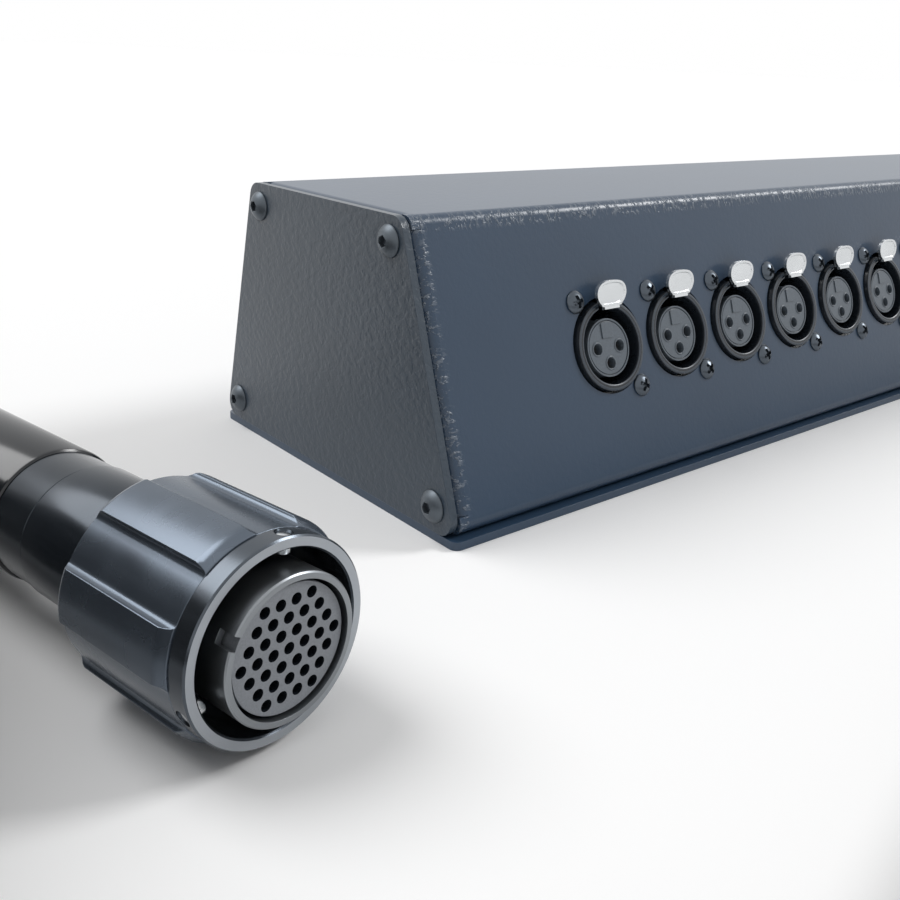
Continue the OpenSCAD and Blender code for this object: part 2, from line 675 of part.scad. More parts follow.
module plug_shell() {
    shell_r = shell_d / 2;
    bore_r = shell_r - shell_wall;
    cavity_r = collar_r - 2;
    floor_back_z = insert_back_z - shell_floor_t;
    color("#3c4249") at_plug() difference() {
        rotate_extrude() polygon([
            [0, floor_back_z], [shell_r - 1.5, floor_back_z], [shell_r - 1.5, retainer_back_z],
            [cavity_r, retainer_back_z - 1], [cavity_r, shell_back_plug_z], [collar_r, shell_back_plug_z],
            [collar_r, retainer_back_z], [retainer_r, retainer_back_z],
            [retainer_r, retainer_back_z + retainer_t], [shell_r, retainer_back_z + retainer_t],
            [shell_r, shell_out - 0.25], [shell_r - 0.25, shell_out],
            [bore_r, shell_out], [bore_r, insert_back_z], [0, insert_back_z]
        ]);
        rotate(key_angle) translate([bore_r - cut, -1.1, shell_out - 3.5])
            cube([shell_wall + 2 * cut, 2.2, 3.5 + cut]);
    }
}

module plug_insert() {
    face_z = shell_out - insert_sink;
    color("#858b92") at_plug() difference() {
        rotate_extrude() polygon([
            [0, insert_back_z], [disc_d / 2, insert_back_z], [disc_d / 2, face_z - 0.2],
            [disc_d / 2 - 0.2, face_z], [0, face_z]
        ]);
        at_contacts() translate([0, 0, insert_back_z - cut])
            cylinder(d = pin_hole_d, h = face_z - insert_back_z + 2 * cut);
    }
}

module plug_contacts() {
    color("#b08d4c") at_plug() at_contacts() translate([0, 0, insert_back_z])
        cylinder(d = pin_hole_d - 0.2, h = -insert_back_z - 3);
}

// Section of one flute, which points along x: a floor between two walls with rounded corners
function flute_section() =
    let (
        w = flute_angle / 2, floor_r = flute_floor_d / 2, c_r = floor_r + flute_fillet,
        d = asin(flute_fillet / c_r), c = c_r * [cos(w - d), sin(w - d)], mouth = coupling_d / 2 + cut,
        half = concat([mouth * [cos(w), sin(w)]], arc(c, flute_fillet, w + 90, w - d + 180, 4),
            [for (a = [w - d - 3:-3:0.5]) floor_r * [cos(a), sin(a)]])
    ) concat(half, [floor_r * [1, 0]], [for (p = reversed(half)) [p[0], -p[1]]]);

module coupling_ring() {
    r = coupling_d / 2;
    front_z = -bayonet_l;
    floor_r = flute_floor_d / 2;
    color("#23272c") at_plug() difference() {
        rotate_extrude() polygon([
            [collar_r + collar_gap, web_back_z], [floor_r + 0.2, web_back_z], [r - 0.3, web_back_z + 0.7],
            [r, web_back_z + 1.6], [r, front_z - land_slope_l], [floor_r + 0.2, front_z],
            [spigot_r + spigot_gap, front_z], [spigot_r + spigot_gap, web_front_z],
            [collar_r + collar_gap, web_front_z]
        ]);
        for (k = [0:land_n - 1]) rotate(first_land_angle + 360 * (k + 0.5) / land_n)
            translate([0, 0, web_back_z - cut]) linear_extrude(fluted_l + 2 * cut) polygon(flute_section());
    }
}

module at_rivets() {
    for (k = [0:2]) rotate(first_pin_angle + 120 * k) translate([0, 0, rivet_z]) rotate([0, 90, 0])
        children();
}

module bayonet_ring() {
    r = bayonet_d / 2;
    mouth_r = bayonet_mouth_d / 2;
    back_z = -bayonet_l - spigot_l;
    color("#4a5058") at_plug() difference() {
        rotate_extrude() polygon([
            [mouth_r + 0.3, 0], [r - 0.3, 0], [r, -0.3], [r, -bayonet_l], [spigot_r, -bayonet_l],
            [spigot_r, back_z], [mouth_r, back_z], [mouth_r, -0.3]
        ]);
        at_rivets() translate([0, 0, mouth_r - cut]) cylinder(d = rivet_d + 0.1, h = r - mouth_r + 2 * cut);
    }
}

module bayonet_pins() {
    color("#c7cbd0") at_plug() at_rivets() translate([0, 0, rivet_in_r])
        cylinder(d = rivet_d, h = bayonet_d / 2 - rivet_sink - rivet_in_r);
}

module wave_spring() {
    spring_t = 1;
    color("#c7cbd0") at_plug() translate([0, 0, web_front_z + 0.2]) difference() {
        cylinder(r = spigot_r - 0.5, h = spring_t);
        translate([0, 0, -cut]) cylinder(r = collar_r + 0.3, h = spring_t + 2 * cut);
    }
}

module backshell() {
    r = backshell_d / 2;
    wall = 2.4;
    color("#14171b") at_plug() translate([0, 0, sleeve_front_z]) rotate_extrude() polygon([
        [0, 0], [r - 0.3, 0], [r - 0.3, band_l], [r, band_l + 0.3], [r, backshell_l - 0.5],
        [r - 0.5, backshell_l], [r - wall, backshell_l], [r - wall, 3], [0, 3]
    ]);
}

module clamp_sleeve() {
    r = sleeve_d / 2;
    l = plug_l + sleeve_front_z;
    color("#1a1e23") at_plug() translate([0, 0, -plug_l]) rotate_extrude() polygon([
        [0, 0], [cord_r + 0.6, 0], [cord_r + 1.2, 0.6], [cord_r + 2, sleeve_taper_l * 0.4],
        [r - 1.2, sleeve_taper_l * 0.85], [r - 0.3, sleeve_taper_l], [r, sleeve_taper_l + 1.5], [r, l - 0.6],
        [r - 0.6, l], [0, l]
    ]);
}

cover();
base_plate();
end_plate_left();
end_plate_right();
case_screws();
socket_screws();
for (i = [1:socket_n]) {
    socket_shell(i);
    socket_insert(i);
    push_tab(i);
}
socket_contacts();
wiring_loom();
gland_body();
gland_nut();
gland_locknut();
multicore_run();
multicore_coil();
multicore_lead();
coil_straps();
plug_shell();
plug_insert();
plug_contacts();
coupling_ring();
bayonet_ring();
bayonet_pins();
wave_spring();
backshell();
clamp_sleeve();
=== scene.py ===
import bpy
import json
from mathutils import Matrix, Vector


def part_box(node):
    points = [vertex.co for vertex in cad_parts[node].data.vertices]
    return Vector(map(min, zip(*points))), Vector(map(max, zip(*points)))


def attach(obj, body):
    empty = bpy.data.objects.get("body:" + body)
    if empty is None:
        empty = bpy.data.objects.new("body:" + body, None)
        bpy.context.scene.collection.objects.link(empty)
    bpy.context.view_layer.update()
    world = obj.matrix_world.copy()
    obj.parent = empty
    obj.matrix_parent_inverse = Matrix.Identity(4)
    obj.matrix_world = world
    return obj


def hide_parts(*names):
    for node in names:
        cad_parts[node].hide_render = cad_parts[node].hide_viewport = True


bl_info = {
    "name": "Stage box snake",
    "version": (1, 0, 0),
    "blender": (4, 5, 0),
    "location": "3D View > Sidebar > Stage box",
    "description": "Finished surfaces and cord of a stage box with a multicore tail and a multipin plug",
    "category": "Add Mesh",
}

import json
import math

import bmesh
import bpy
from bmesh.types import BMEdge, BMFace, BMVert
from bpy.props import FloatProperty, FloatVectorProperty, IntProperty, PointerProperty
from mathutils import Matrix, Vector
from mathutils.geometry import convex_hull_2d

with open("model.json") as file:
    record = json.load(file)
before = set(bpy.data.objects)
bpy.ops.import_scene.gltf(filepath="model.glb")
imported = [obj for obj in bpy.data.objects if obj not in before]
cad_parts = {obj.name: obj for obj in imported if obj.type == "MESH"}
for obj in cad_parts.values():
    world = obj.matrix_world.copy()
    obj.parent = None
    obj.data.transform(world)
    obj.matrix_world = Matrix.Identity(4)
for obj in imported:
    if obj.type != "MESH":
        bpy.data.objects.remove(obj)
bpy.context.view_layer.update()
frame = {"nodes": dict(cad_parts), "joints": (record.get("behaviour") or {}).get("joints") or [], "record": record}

# Shapes are worked out in millimetres and scaled once, when a piece is placed.
MM = 0.001
SCALE = Matrix.Scale(MM, 4)
# Edges that turn less than this shade smoothly
CREASE_DEG = 32
SOCKETS = ["%02d" % i for i in range(1, 13)]

# Camera, fitted to the photograph's corners and screws
IMAGE_PX = 900
CAMERA_PLACE = (-0.337565, -0.215711, 0.10488)
CAMERA_YAW = math.radians(42.158)
CAMERA_DOWN = math.radians(14.23)
CAMERA_ROLL = math.radians(2.722)
CAMERA_FOCAL_PX = 1037.922
CAMERA_CENTRE_PX = (516.352, 325.496)
SENSOR_MM = 36

# The case's section in millimetres: the foot of its front in Y and Z, the rise of its faces and their leans
PANEL_FOOT = (-53.5, 2.0)
PANEL_RISE = 69.0
PANEL_LEAN = 22.5
REAR_LEAN = 16.5
CASE_TOP = PANEL_FOOT[1] + PANEL_RISE
HALF_DEPTH = -PANEL_FOOT[0]
PANEL_ANGLE = math.atan2(PANEL_RISE, PANEL_LEAN)
# Half the cover's length, the thickness of its sheet, and the outer radius of its bends
COVER_HALF = 203.4
SHEET_T = 1.5
BEND_R = 3.0
# How far the end plates' screws lie inside the faces, and the facets round a screw
END_SCREW_IN = 6
SCREW_STEPS = 48
# How far up the panel the sockets' row lies, and where the cord leaves the right end plate
ROW_UP = 36.0
GLAND_PLACE = (206.0, -4.0, 24.0)
# The world's light on the object, where 1 is white
FILL = 0.38

# The multicore's route from the gland to the coil and from the plug to the coil, in millimetres
CORD_D = 17.0
PLUG_TAIL = (-291.0, 38.5, 18.2)
PLUG_HEADING = math.radians(280)
COIL_CENTRE = (-455.0, -10.0)
COIL_R = 133.0
COIL_STEP = 17.6
COIL_TURNS = 13.5
COIL_LAYERS = 4
COIL_Z = 10.6
COIL_TOP_Z = COIL_Z + COIL_STEP * (COIL_LAYERS - 1)
RINGS_PER_TURN = 24
RUN_ROUTE = [
    (208, -4, 24), (240, -4, 24), (257, -4, 24), (281, -7, 23), (302, -18, 20), (318, -36, 16),
    (326, -60, 12), (326, -84, 10), (318, -108, 9), (302, -126, 8.6), (281, -138, 8.6), (257, -142, 8.6),
    (225, -142, 8.6), (190, -142, 8.6), (150, -142, 8.6), (110, -142, 8.6), (70, -143, 8.6),
    (30, -145, 8.6), (-10, -148, 8.6), (-50, -152, 8.6), (-90, -157, 8.6), (-130, -163, 8.6),
    (-168, -170.5, 8.6), (-205, -179, 8.6), (-243, -186, 8.6), (-280, -187, 8.6), (-314, -181.5, 8.6),
    (-345, -171, 8.6), (-374, -158.5, 8.8), (-400, -147.5, 9.6), (-421, COIL_CENTRE[1] - COIL_R, COIL_Z),
    (COIL_CENTRE[0] + CORD_D, COIL_CENTRE[1] - COIL_R, COIL_Z),
]
LEAD_ROUTE = [
    PLUG_TAIL,
    (PLUG_TAIL[0] - CORD_D * math.cos(PLUG_HEADING), PLUG_TAIL[1] - CORD_D * math.sin(PLUG_HEADING),
     PLUG_TAIL[2]),
    (-298, 69, 19.2), (-304, 82, 22), (-312, 93.7, 26.2), (-322, 103.8, 31.4), (-334, 112, 37.3),
    (-347, 118, 43.3), (-361, 121.8, 49.1), (-375, 123, 54.6), (-390, 123, 59.2), (-405, 123, 62.2),
    (-421, COIL_CENTRE[1] + COIL_R, COIL_TOP_Z),
    (COIL_CENTRE[0] + CORD_D, COIL_CENTRE[1] + COIL_R, COIL_TOP_Z),
]


def linear(hex_colour):
    """An sRGB hex colour as linear red, green, blue and alpha."""
    parts = [int(hex_colour[i:i + 2], 16) / 255 for i in (1, 3, 5)]
    return tuple([p / 12.92 if p <= 0.04045 else ((p + 0.055) / 1.055) ** 2.4 for p in parts] + [1.0])


class StageBoxSizes(bpy.types.PropertyGroup):
    """Sizes that a user may change without touching the CAD."""

    paint_round: FloatProperty(name="Painted edge", description="Radius of the paint on an edge, in mm",
                               default=0.3, min=0.05, max=0.6)
    peel: FloatProperty(name="Orange peel", description="Width of one bump in the powder coat, in mm",
                        default=1.5, min=0.5, max=4.0)
    recess: FloatProperty(name="Cross recess", description="Depth of the recess in a socket screw, in mm",
                          default=1.3, min=0.6, max=1.6)
    ring_steps: IntProperty(name="Facets", description="Facets round a turned piece",
                            default=72, min=24, max=128)
    weave: FloatProperty(name="Weave", description="Distance between the strap's threads, in mm",
                         default=1.2, min=0.6, max=3.0)


def tone(name, description, hex_colour):
    """A colour that a user may change."""
    return FloatVectorProperty(name=name, description=description, subtype="COLOR", size=4,
                               default=linear(hex_colour))


class StageBoxColours(bpy.types.PropertyGroup):
    """Colours of the finishes, as linear values."""

    cover: tone("Cover paint", "Slate powder coat of the bent cover", "#2F4359")
    ends: tone("End paint", "Powder coat of the end plates", "#37434F")
    sockets: tone("Sockets", "Moulded socket shells", "#20252B")
    inserts: tone("Socket inserts", "Moulded contact inserts", "#5F6871")
    cord: tone("Cord sheath", "Sheath of the multicore", "#1B1D20")
    coupling: tone("Coupling ring", "Anodised fluted ring", "#5C6570")


def sizes():
    return bpy.context.scene.stage_box_sizes


def colours():
    return bpy.context.scene.stage_box_colours


def add(tree, kind, links=None, **settings):
    """Adds a node: settings are its own properties, links its inputs as values or other nodes' outputs."""
    made = tree.nodes.new(kind)
    for name, value in settings.items():
        setattr(made, name, value)
    for name, value in (links or {}).items():
        if isinstance(value, bpy.types.NodeSocket):
            tree.links.new(value, made.inputs[name])
        else:
            made.inputs[name].default_value = value
    return made


def new_material(name):
    """An empty material with an output, and its tree."""
    material = bpy.data.materials.new(name)
    material.use_nodes = True
    material.node_tree.nodes.clear()
    return material, material.node_tree


def coordinates(tree):
    """The piece's own object coordinates, in metres."""
    return add(tree, "ShaderNodeTexCoord").outputs["Object"]


def noise(tree, place, width_mm, detail, roughness=0.5):
    """Noise with bumps of about this width on coordinates in metres."""
    inputs = {"Vector": place, "Scale": 1 / (width_mm * MM), "Detail": detail, "Roughness": roughness}
    return add(tree, "ShaderNodeTexNoise", inputs).outputs["Fac"]


def bumped(tree, height, height_mm, normal=None):
    """A normal that rises with a height."""
    inputs = {"Height": height, "Distance": height_mm * MM, "Strength": 1.0}
    if normal is not None:
        inputs["Normal"] = normal
    return add(tree, "ShaderNodeBump", inputs).outputs["Normal"]


def maths(tree, operation, *values):
    """The result of a sum on values or other nodes' outputs."""
    return add(tree, "ShaderNodeMath", dict(enumerate(values)), operation=operation).outputs["Value"]


def between(tree, value, low, high):
    """Nought at one value and one at the other, with a smooth step between."""
    inputs = {"Value": value, "From Min": low, "From Max": high}
    return add(tree, "ShaderNodeMapRange", inputs, interpolation_type="SMOOTHSTEP").outputs["Result"]


def mixed(tree, factor, low, high):
    """A colour ramp between two colours, driven by a factor."""
    ramp = add(tree, "ShaderNodeValToRGB", {"Fac": factor})
    for stop, position, colour in zip(ramp.color_ramp.elements, (0.3, 0.7), (low, high)):
        stop.position = position
        stop.color = colour
    return ramp.outputs["Color"]


def shade(colour, amount):
    """The colour made lighter or darker."""
    return tuple([max(0.0, min(1.0, c * amount)) for c in colour[:3]] + [1.0])


def finish_surface(tree, colour, normal=None, roughness=0.4, sockets=None):
    """The Principled shader and the output, with constant values on the shader's own sockets."""
    inputs = {"Base Color": colour, "Roughness": roughness}
    if normal is not None:
        inputs["Normal"] = normal
    inputs.update(sockets or {})
    shader = add(tree, "ShaderNodeBsdfPrincipled", inputs)
    add(tree, "ShaderNodeOutputMaterial", {"Surface": shader.outputs["BSDF"]})


def near_line(tree, place, point, reach_mm):
    """One beside a line along X through a point in Y and Z, and none at some reach from it."""
    flat = add(tree, "ShaderNodeVectorMath", {0: place, 1: (0, 1, 1)}, operation="MULTIPLY")
    ends = {0: flat.outputs["Vector"], 1: (0, point[0] * MM, point[1] * MM)}
    gap = add(tree, "ShaderNodeVectorMath", ends, operation="DISTANCE")
    return between(tree, gap.outputs["Value"], reach_mm * MM, 1 * MM)


def near_ends(tree, place, end_mm, reach_mm):
    """How near a place is to either end of the case, and how far it is on the front panel, from 0 to 1."""
    parts = add(tree, "ShaderNodeSeparateXYZ", {"Vector": place}).outputs
    away = between(tree, maths(tree, "ABSOLUTE", parts["X"]), (end_mm - reach_mm) * MM, end_mm * MM)
    reach = {"Value": parts["Y"], "From Min": -28 * MM, "From Max": -32 * MM}
    return away, add(tree, "ShaderNodeMapRange", reach).outputs["Result"]


def crust(tree, place, stretch, edge):
    """Short ridges of paint that run out from a bend, only beside it and only in places. The powder coat raises
    them and paints them lighter, as a painted highlight.
    """
    drawn = add(tree, "ShaderNodeMapping", {"Vector": place, "Scale": stretch}).outputs["Vector"]
    sharp = between(tree, noise(tree, drawn, 0.9, 2.0, 0.6), 0.48, 0.66)
    patches = {"Value": noise(tree, place, 7, 2.0), "From Min": 0.34, "From Max": 0.5}
    there = add(tree, "ShaderNodeMapRange", patches).outputs["Result"]
    return maths(tree, "MULTIPLY", sharp, maths(tree, "MULTIPLY", edge, there))


def powder_coat(name, colour, peel_mm, height_mm, crust_with_painted_highlight):
    """Baked polyester powder coat. Orange peel breaks its gloss, and a crust gathers along the bends, painted
    lighter as a painted highlight.
    """
    material, tree = new_material(name)
    place = coordinates(tree)
    tilt = {"Vector": place, "Rotation": (0.6, 0.3, 0.0), "Scale": (1.0, 0.8, 0.9)}
    peel = noise(tree, add(tree, "ShaderNodeMapping", tilt).outputs["Vector"], peel_mm, 2.5, 0.6)
    normal = bumped(tree, between(tree, peel, 0.35, 0.62), height_mm)
    tint = mixed(tree, noise(tree, place, 40, 2.0), shade(colour, 0.95), shade(colour, 1.05))
    if crust_with_painted_highlight:
        under_bend = (PANEL_LEAN - HALF_DEPTH - 0.1, CASE_TOP - 2.0)
        bend = crust(tree, place, (1.0, 0.5, 0.5), near_line(tree, place, under_bend, reach_mm=2.9))
        beside, front = near_ends(tree, place, end_mm=COVER_HALF - 1.6, reach_mm=2.6)
        ends = maths(tree, "MULTIPLY", crust(tree, place, (0.5, 1.0, 1.0), beside), front)
        both = maths(tree, "MAXIMUM", bend, ends)
        normal = bumped(tree, both, 0.15, normal)
        # Painted highlight: the crust's ridges are painted lighter, towards a pale grey, as if they caught the
        # light
        pale = {0: maths(tree, "MULTIPLY", both, 0.28), 6: tint, 7: linear("#AEB4BA")}
        tint = add(tree, "ShaderNodeMix", pale, data_type="RGBA").outputs[2]
    finish_surface(tree, tint, normal, roughness=0.3, sockets={"IOR": 1.5})
    return material


def moulded(name, colour, roughness=0.35, grain_mm=0.5, height_mm=0.004):
    """Injection moulded plastic. A faint grain softens its highlights."""
    material, tree = new_material(name)
    grain = noise(tree, coordinates(tree), grain_mm, 3.0)
    tint = mixed(tree, grain, shade(colour, 0.9), shade(colour, 1.1))
    finish_surface(tree, tint, bumped(tree, grain, height_mm), roughness=roughness, sockets={"IOR": 1.5})
    return material


def metal(name, colour, roughness=0.3, grain_mm=0.4, height_mm=0.003, metallic=1.0):
    """Plated, oxidised or anodised metal with the fine grain that turning and finishing leave."""
    material, tree = new_material(name)
    place = coordinates(tree)
    wear = noise(tree, place, 8, 4.0)
    spread = {"Value": wear, "To Min": roughness * 0.8, "To Max": roughness * 1.25}
    rough = add(tree, "ShaderNodeMapRange", spread)
    normal = bumped(tree, noise(tree, place, grain_mm, 2.0), height_mm)
    tint = mixed(tree, wear, shade(colour, 0.93), shade(colour, 1.05))
    finish_surface(tree, tint, normal, rough.outputs["Result"], {"Metallic": metallic})
    return material


def sheath(name, colour):
    """Extruded PVC sheath. Matt with a slight drag grain, and a little uneven over the pairs inside."""
    material, tree = new_material(name)
    place = coordinates(tree)
    grain = noise(tree, place, 0.6, 2.0)
    normal = bumped(tree, grain, 0.01, bumped(tree, noise(tree, place, 9, 1.0), 0.15))
    tint = mixed(tree, grain, shade(colour, 0.9), shade(colour, 1.12))
    finish_surface(tree, tint, normal, roughness=0.45, sockets={"IOR": 1.52})
    return material


def webbing(name, colour, thread_mm):
    """Woven nylon webbing. Ribs both ways, on the piece's own UV map, give it a dull sheen."""
    material, tree = new_material(name)
    threads = add(tree, "ShaderNodeUVMap", uv_map="Weave").outputs["UV"]
    waves = {"Vector": threads, "Scale": 0.5 / (thread_mm * MM)}
    across, along = (add(tree, "ShaderNodeTexWave", waves, bands_direction=way).outputs["Fac"]
                     for way in "XY")
    weave = maths(tree, "MULTIPLY", across, along)
    tint = mixed(tree, weave, shade(colour, 0.7), shade(colour, 1.4))
    finish_surface(tree, tint, bumped(tree, weave, 0.25), 0.8, {"Sheen Weight": 0.3, "Sheen Roughness": 0.5})
    return material


FINISHES = {}


def make_finishes():
    """All materials, keyed by the record's material slots."""
    c, s = colours(), sizes()
    FINISHES.update({
        "cover_paint": powder_coat("slate_powder_coat", tuple(c.cover), s.peel, 0.012, True),
        "base_paint": powder_coat("slate_powder_coat_on_base", tuple(c.cover), s.peel, 0.012, False),
        "end_paint": powder_coat("grey_powder_coat", tuple(c.ends), s.peel, 0.05, False),
        "black_screws": metal("blackened_steel", linear("#555C64"), roughness=0.28, metallic=0.8),
        "case_screws": metal("dull_zinc_plated_steel", linear("#5C636A"), roughness=0.42, metallic=0.7),
        "contact_metal": metal("gold_flashed_brass", linear("#B08A45"), roughness=0.3),
        "socket_black": moulded("moulded_black_nylon", tuple(c.sockets), roughness=0.14, height_mm=0.001),
        # Lighter black nylon for the sockets' lips: a painted reflection on the glossy ring
        "nylon_painted_sheen": moulded("black_nylon_painted_sheen", linear("#39424C"), roughness=0.3, height_mm=0.001),
        "socket_insert_grey": moulded("moulded_grey_pbt", tuple(c.inserts), roughness=0.3),
        "bright_steel": metal("nickel_plated_die_casting", linear("#D5D8DA"), roughness=0.24,
                              height_mm=0.006),
        "plated_metal": metal("nickel_plated_brass", linear("#B7B6B0"), roughness=0.22),
        "sheath": sheath("extruded_pvc_sheath", tuple(c.cord)),
        "strap_fabric": webbing("woven_nylon_webbing", linear("#141517"), s.weave),
        "grey_shell": metal("grey_anodised_aluminium", linear("#8A8E92"), roughness=0.35),
        "grey_insert": moulded("moulded_grey_thermoset", linear("#7D8187"), roughness=0.5, grain_mm=0.3),
        "black_anodised": metal("black_anodised_aluminium", tuple(c.coupling), roughness=0.26, metallic=0.7),
        "smooth_ring": metal("bright_black_anodised_aluminium", linear("#50565D"), roughness=0.2,
                             metallic=0.8),
        # Paler anodising for the nose ring's front faces: a painted reflection
        "rim_painted_reflection": metal("anodised_rim_painted_reflection", linear("#A3A8AE"), roughness=0.34, metallic=0.8),
        "black_shell": metal("gloss_black_anodised_aluminium", linear("#353B42"), roughness=0.2,
                             metallic=0.6),
        "black_sleeve": moulded("heat_shrunk_black_sleeve", linear("#171B20"), roughness=0.16,
                                height_mm=0.001),
    })


def arc(centre, radius, start_deg, end_deg, steps):
    """Points on an arc, both ends included."""
    turn = [math.radians(start_deg + (end_deg - start_deg) * k / steps) for k in range(steps + 1)]
    return [(centre[0] + radius * math.cos(a), centre[1] + radius * math.sin(a)) for a in turn]


def circle(centre, radius, steps):
    return arc(centre, radius, 0, 360, steps)[:-1]


def eased(points, steps):
    """A closed outline drawn as one smooth curve through a few points."""
    count, out = len(points), []
    for i in range(count):
        a, b, c, d = (Vector(points[(i + k) % count]) for k in (-1, 0, 1, 2))
        for k in range(steps):
            t = k / steps
            out.append(0.5 * (2 * b + (c - a) * t + (2 * a - 5 * b + 4 * c - d) * t ** 2
                              + (3 * b - a - 3 * c + d) * t ** 3))
    return [tuple(p) for p in out]


def only(kind, items):
    return [item for item in items if isinstance(item, kind)]


def lathe(profile, closed=True, steps=None):
    """A turned shape: points (radius, height) spun round Z. An open profile starts and ends on the axis."""
    bm = bmesh.new()
    verts = [bm.verts.new((r, 0, z)) for r, z in profile]
    pairs = list(zip(verts, verts[1:])) + ([(verts[-1], verts[0])] if closed else [])
    edges = [bm.edges.new(pair) for pair in pairs]
    bmesh.ops.spin(bm, geom=verts + edges, cent=(0, 0, 0), axis=(0, 0, 1), angle=2 * math.pi,
                   steps=steps or sizes().ring_steps, use_merge=True)
    bmesh.ops.remove_doubles(bm, verts=bm.verts, dist=1e-4)
    bmesh.ops.recalc_face_normals(bm, faces=bm.faces)
    return bm


def plate(outlines, height):
    """A plate raised along Z. The first closed outline in X and Y is its edge, and the others are holes."""
    bm = bmesh.new()
    rims = []
    for outline in outlines:
        verts = [bm.verts.new((x, y, 0)) for x, y in outline]
        rims += [bm.edges.new(pair) for pair in zip(verts, verts[1:] + verts[:1])]
    filled = bmesh.ops.triangle_fill(bm, edges=rims, use_beauty=True)
    faces = only(BMFace, filled["geom"])
    raised = bmesh.ops.extrude_face_region(bm, geom=faces)
    bmesh.ops.translate(bm, verts=only(BMVert, raised["geom"]), vec=(0, 0, height))
    bmesh.ops.recalc_face_normals(bm, faces=bm.faces)
    return bm


def set_ring(verts, radius, height):
    """Moves points to a ring, whose radius may follow the angle, and its height the radius."""
    for vert in verts:
        angle = math.atan2(vert.co.y, vert.co.x)
        r = radius(angle) if callable(radius) else radius
        vert.co = (r * math.cos(angle), r * math.sin(angle), height(r) if callable(height) else height)


def ringed(rings, steps):
    """A closed shape of rings (radius, height) from its back to its front, where either may be a rule."""
    bm = bmesh.new()
    bmesh.ops.create_circle(bm, segments=steps, radius=1, cap_ends=False)
    set_ring(bm.verts, *rings[0])
    back = list(bm.edges)
    rim = back
    for ring in rings[1:]:
        made = bmesh.ops.extrude_edge_only(bm, edges=rim)["geom"]
        set_ring(only(BMVert, made), *ring)
        rim = [edge for edge in only(BMEdge, made) if edge.is_boundary]
    bmesh.ops.edgeloop_fill(bm, edges=back)
    bmesh.ops.edgeloop_fill(bm, edges=rim)
    bmesh.ops.recalc_face_normals(bm, faces=bm.faces)
    return bm


def hexagon(flat_r):
    """Radius of a hexagon at each angle, from the distance of its flats."""
    return lambda angle: flat_r / math.cos((angle + math.pi / 6) % (math.pi / 3) - math.pi / 6)


def cross(arm, width):
    """Radius of a cross at each angle, from the reach and the width of its arms."""
    def radius(angle):
        off = abs((angle + math.pi / 4) % (math.pi / 2) - math.pi / 4)
        return min(arm, width / 2 / max(math.sin(off), 0.01))
    return radius


def scaled(radius, share):
    return lambda angle: radius(angle) * share


def dome(head_d, head_h, rim_h):
    """Height of a domed head at each radius, above a short upright rim."""
    sphere_r = ((head_d / 2) ** 2 + head_h ** 2) / (2 * head_h)
    def height(r):
        rise = head_h - sphere_r + math.sqrt(max(0.0, sphere_r ** 2 - r ** 2))
        return rim_h + max(0.0, rise) * (head_h - rim_h) / head_h
    return height


def domed_screw(head_d, head_h, shank_d, shank_l, recess, depth):
    """A screw with a domed head, whose recess narrows a little to its floor."""
    top = dome(head_d, head_h, 0.3)
    head_r = head_d / 2
    rings = [(shank_d / 2, -shank_l), (shank_d / 2, 0), (head_r - 0.12, 0), (head_r, 0.12), (head_r, 0.3)]
    rings += [(head_r * share, top) for share in (0.96, 0.88, 0.78, 0.68, 0.58)]
    rings += [(scaled(recess, 1.1), top), (recess, lambda r: top(r) - 0.12)]
    rings += [(scaled(recess, 0.97), head_h - depth), (scaled(recess, 0.3), head_h - depth - 0.25)]
    return ringed(rings, SCREW_STEPS)


def moved(x, y, z):
    return Matrix.Translation((x, y, z))


def turned(degrees, axis):
    return Matrix.Rotation(math.radians(degrees), 4, axis)


def standing(x):
    """Stands a flat shape up: its X and Y along Y and Z, and its thickness along X, from x on."""
    return Matrix(((0, 0, 1, x), (1, 0, 0, 0), (0, 1, 0, 0), (0, 0, 0, 1)))


def put(target, shape, place=None):
    """Copies a shape into another one, at a place."""
    part = bpy.data.meshes.new("part")
    shape.to_mesh(part)
    if place is not None:
        part.transform(place)
    target.from_mesh(part)
    bpy.data.meshes.remove(part)
    return target


def merged_copy(node):
    """A copy of a CAD node's mesh with its loose triangles joined and its flat faces whole."""
    bm = bmesh.new()
    bm.from_mesh(frame["nodes"][node].data)
    bmesh.ops.remove_doubles(bm, verts=bm.verts, dist=2e-6)
    bmesh.ops.dissolve_limit(bm, angle_limit=math.radians(0.5), verts=bm.verts, edges=bm.edges)
    return bm


def show(name, bm, slot, node, place=None, crease_deg=CREASE_DEG, body="stagebox", finish=None):
    """Makes a finished piece of a shape: placed, shaded, painted, and riding on its body."""
    if place is not None:
        bmesh.ops.transform(bm, matrix=place, verts=bm.verts)
        bmesh.ops.recalc_face_normals(bm, faces=bm.faces)
    for face in bm.faces:
        face.smooth = True
    for edge in bm.edges:
        edge.smooth = len(edge.link_faces) == 2 and edge.calc_face_angle(0) < math.radians(crease_deg)
    mesh = bpy.data.meshes.new(name)
    bm.to_mesh(mesh)
    bm.free()
    return settle(bpy.data.objects.new(name, mesh), slot, [node], body, finish)


def settle(piece, slot, nodes, body="stagebox", finish=None):
    """Links a piece, gives it its finish and its body, and hides the CAD nodes that it stands for."""
    bpy.context.scene.collection.objects.link(piece)
    piece.data.materials.append(FINISHES[finish or slot])
    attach(piece, body)
    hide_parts(*nodes)
    return piece


def refinish(piece, place, finish, chosen):
    """Gives a second finish to faces, chosen by their tilt to the place's Z and their centre in mm."""
    piece.data.materials.append(FINISHES[finish])
    inside = place.inverted()
    out = place.to_3x3().normalized() @ Vector((0, 0, 1))
    for face in piece.data.polygons:
        if chosen(face.normal.dot(out), inside @ face.center):
            face.material_index = 1


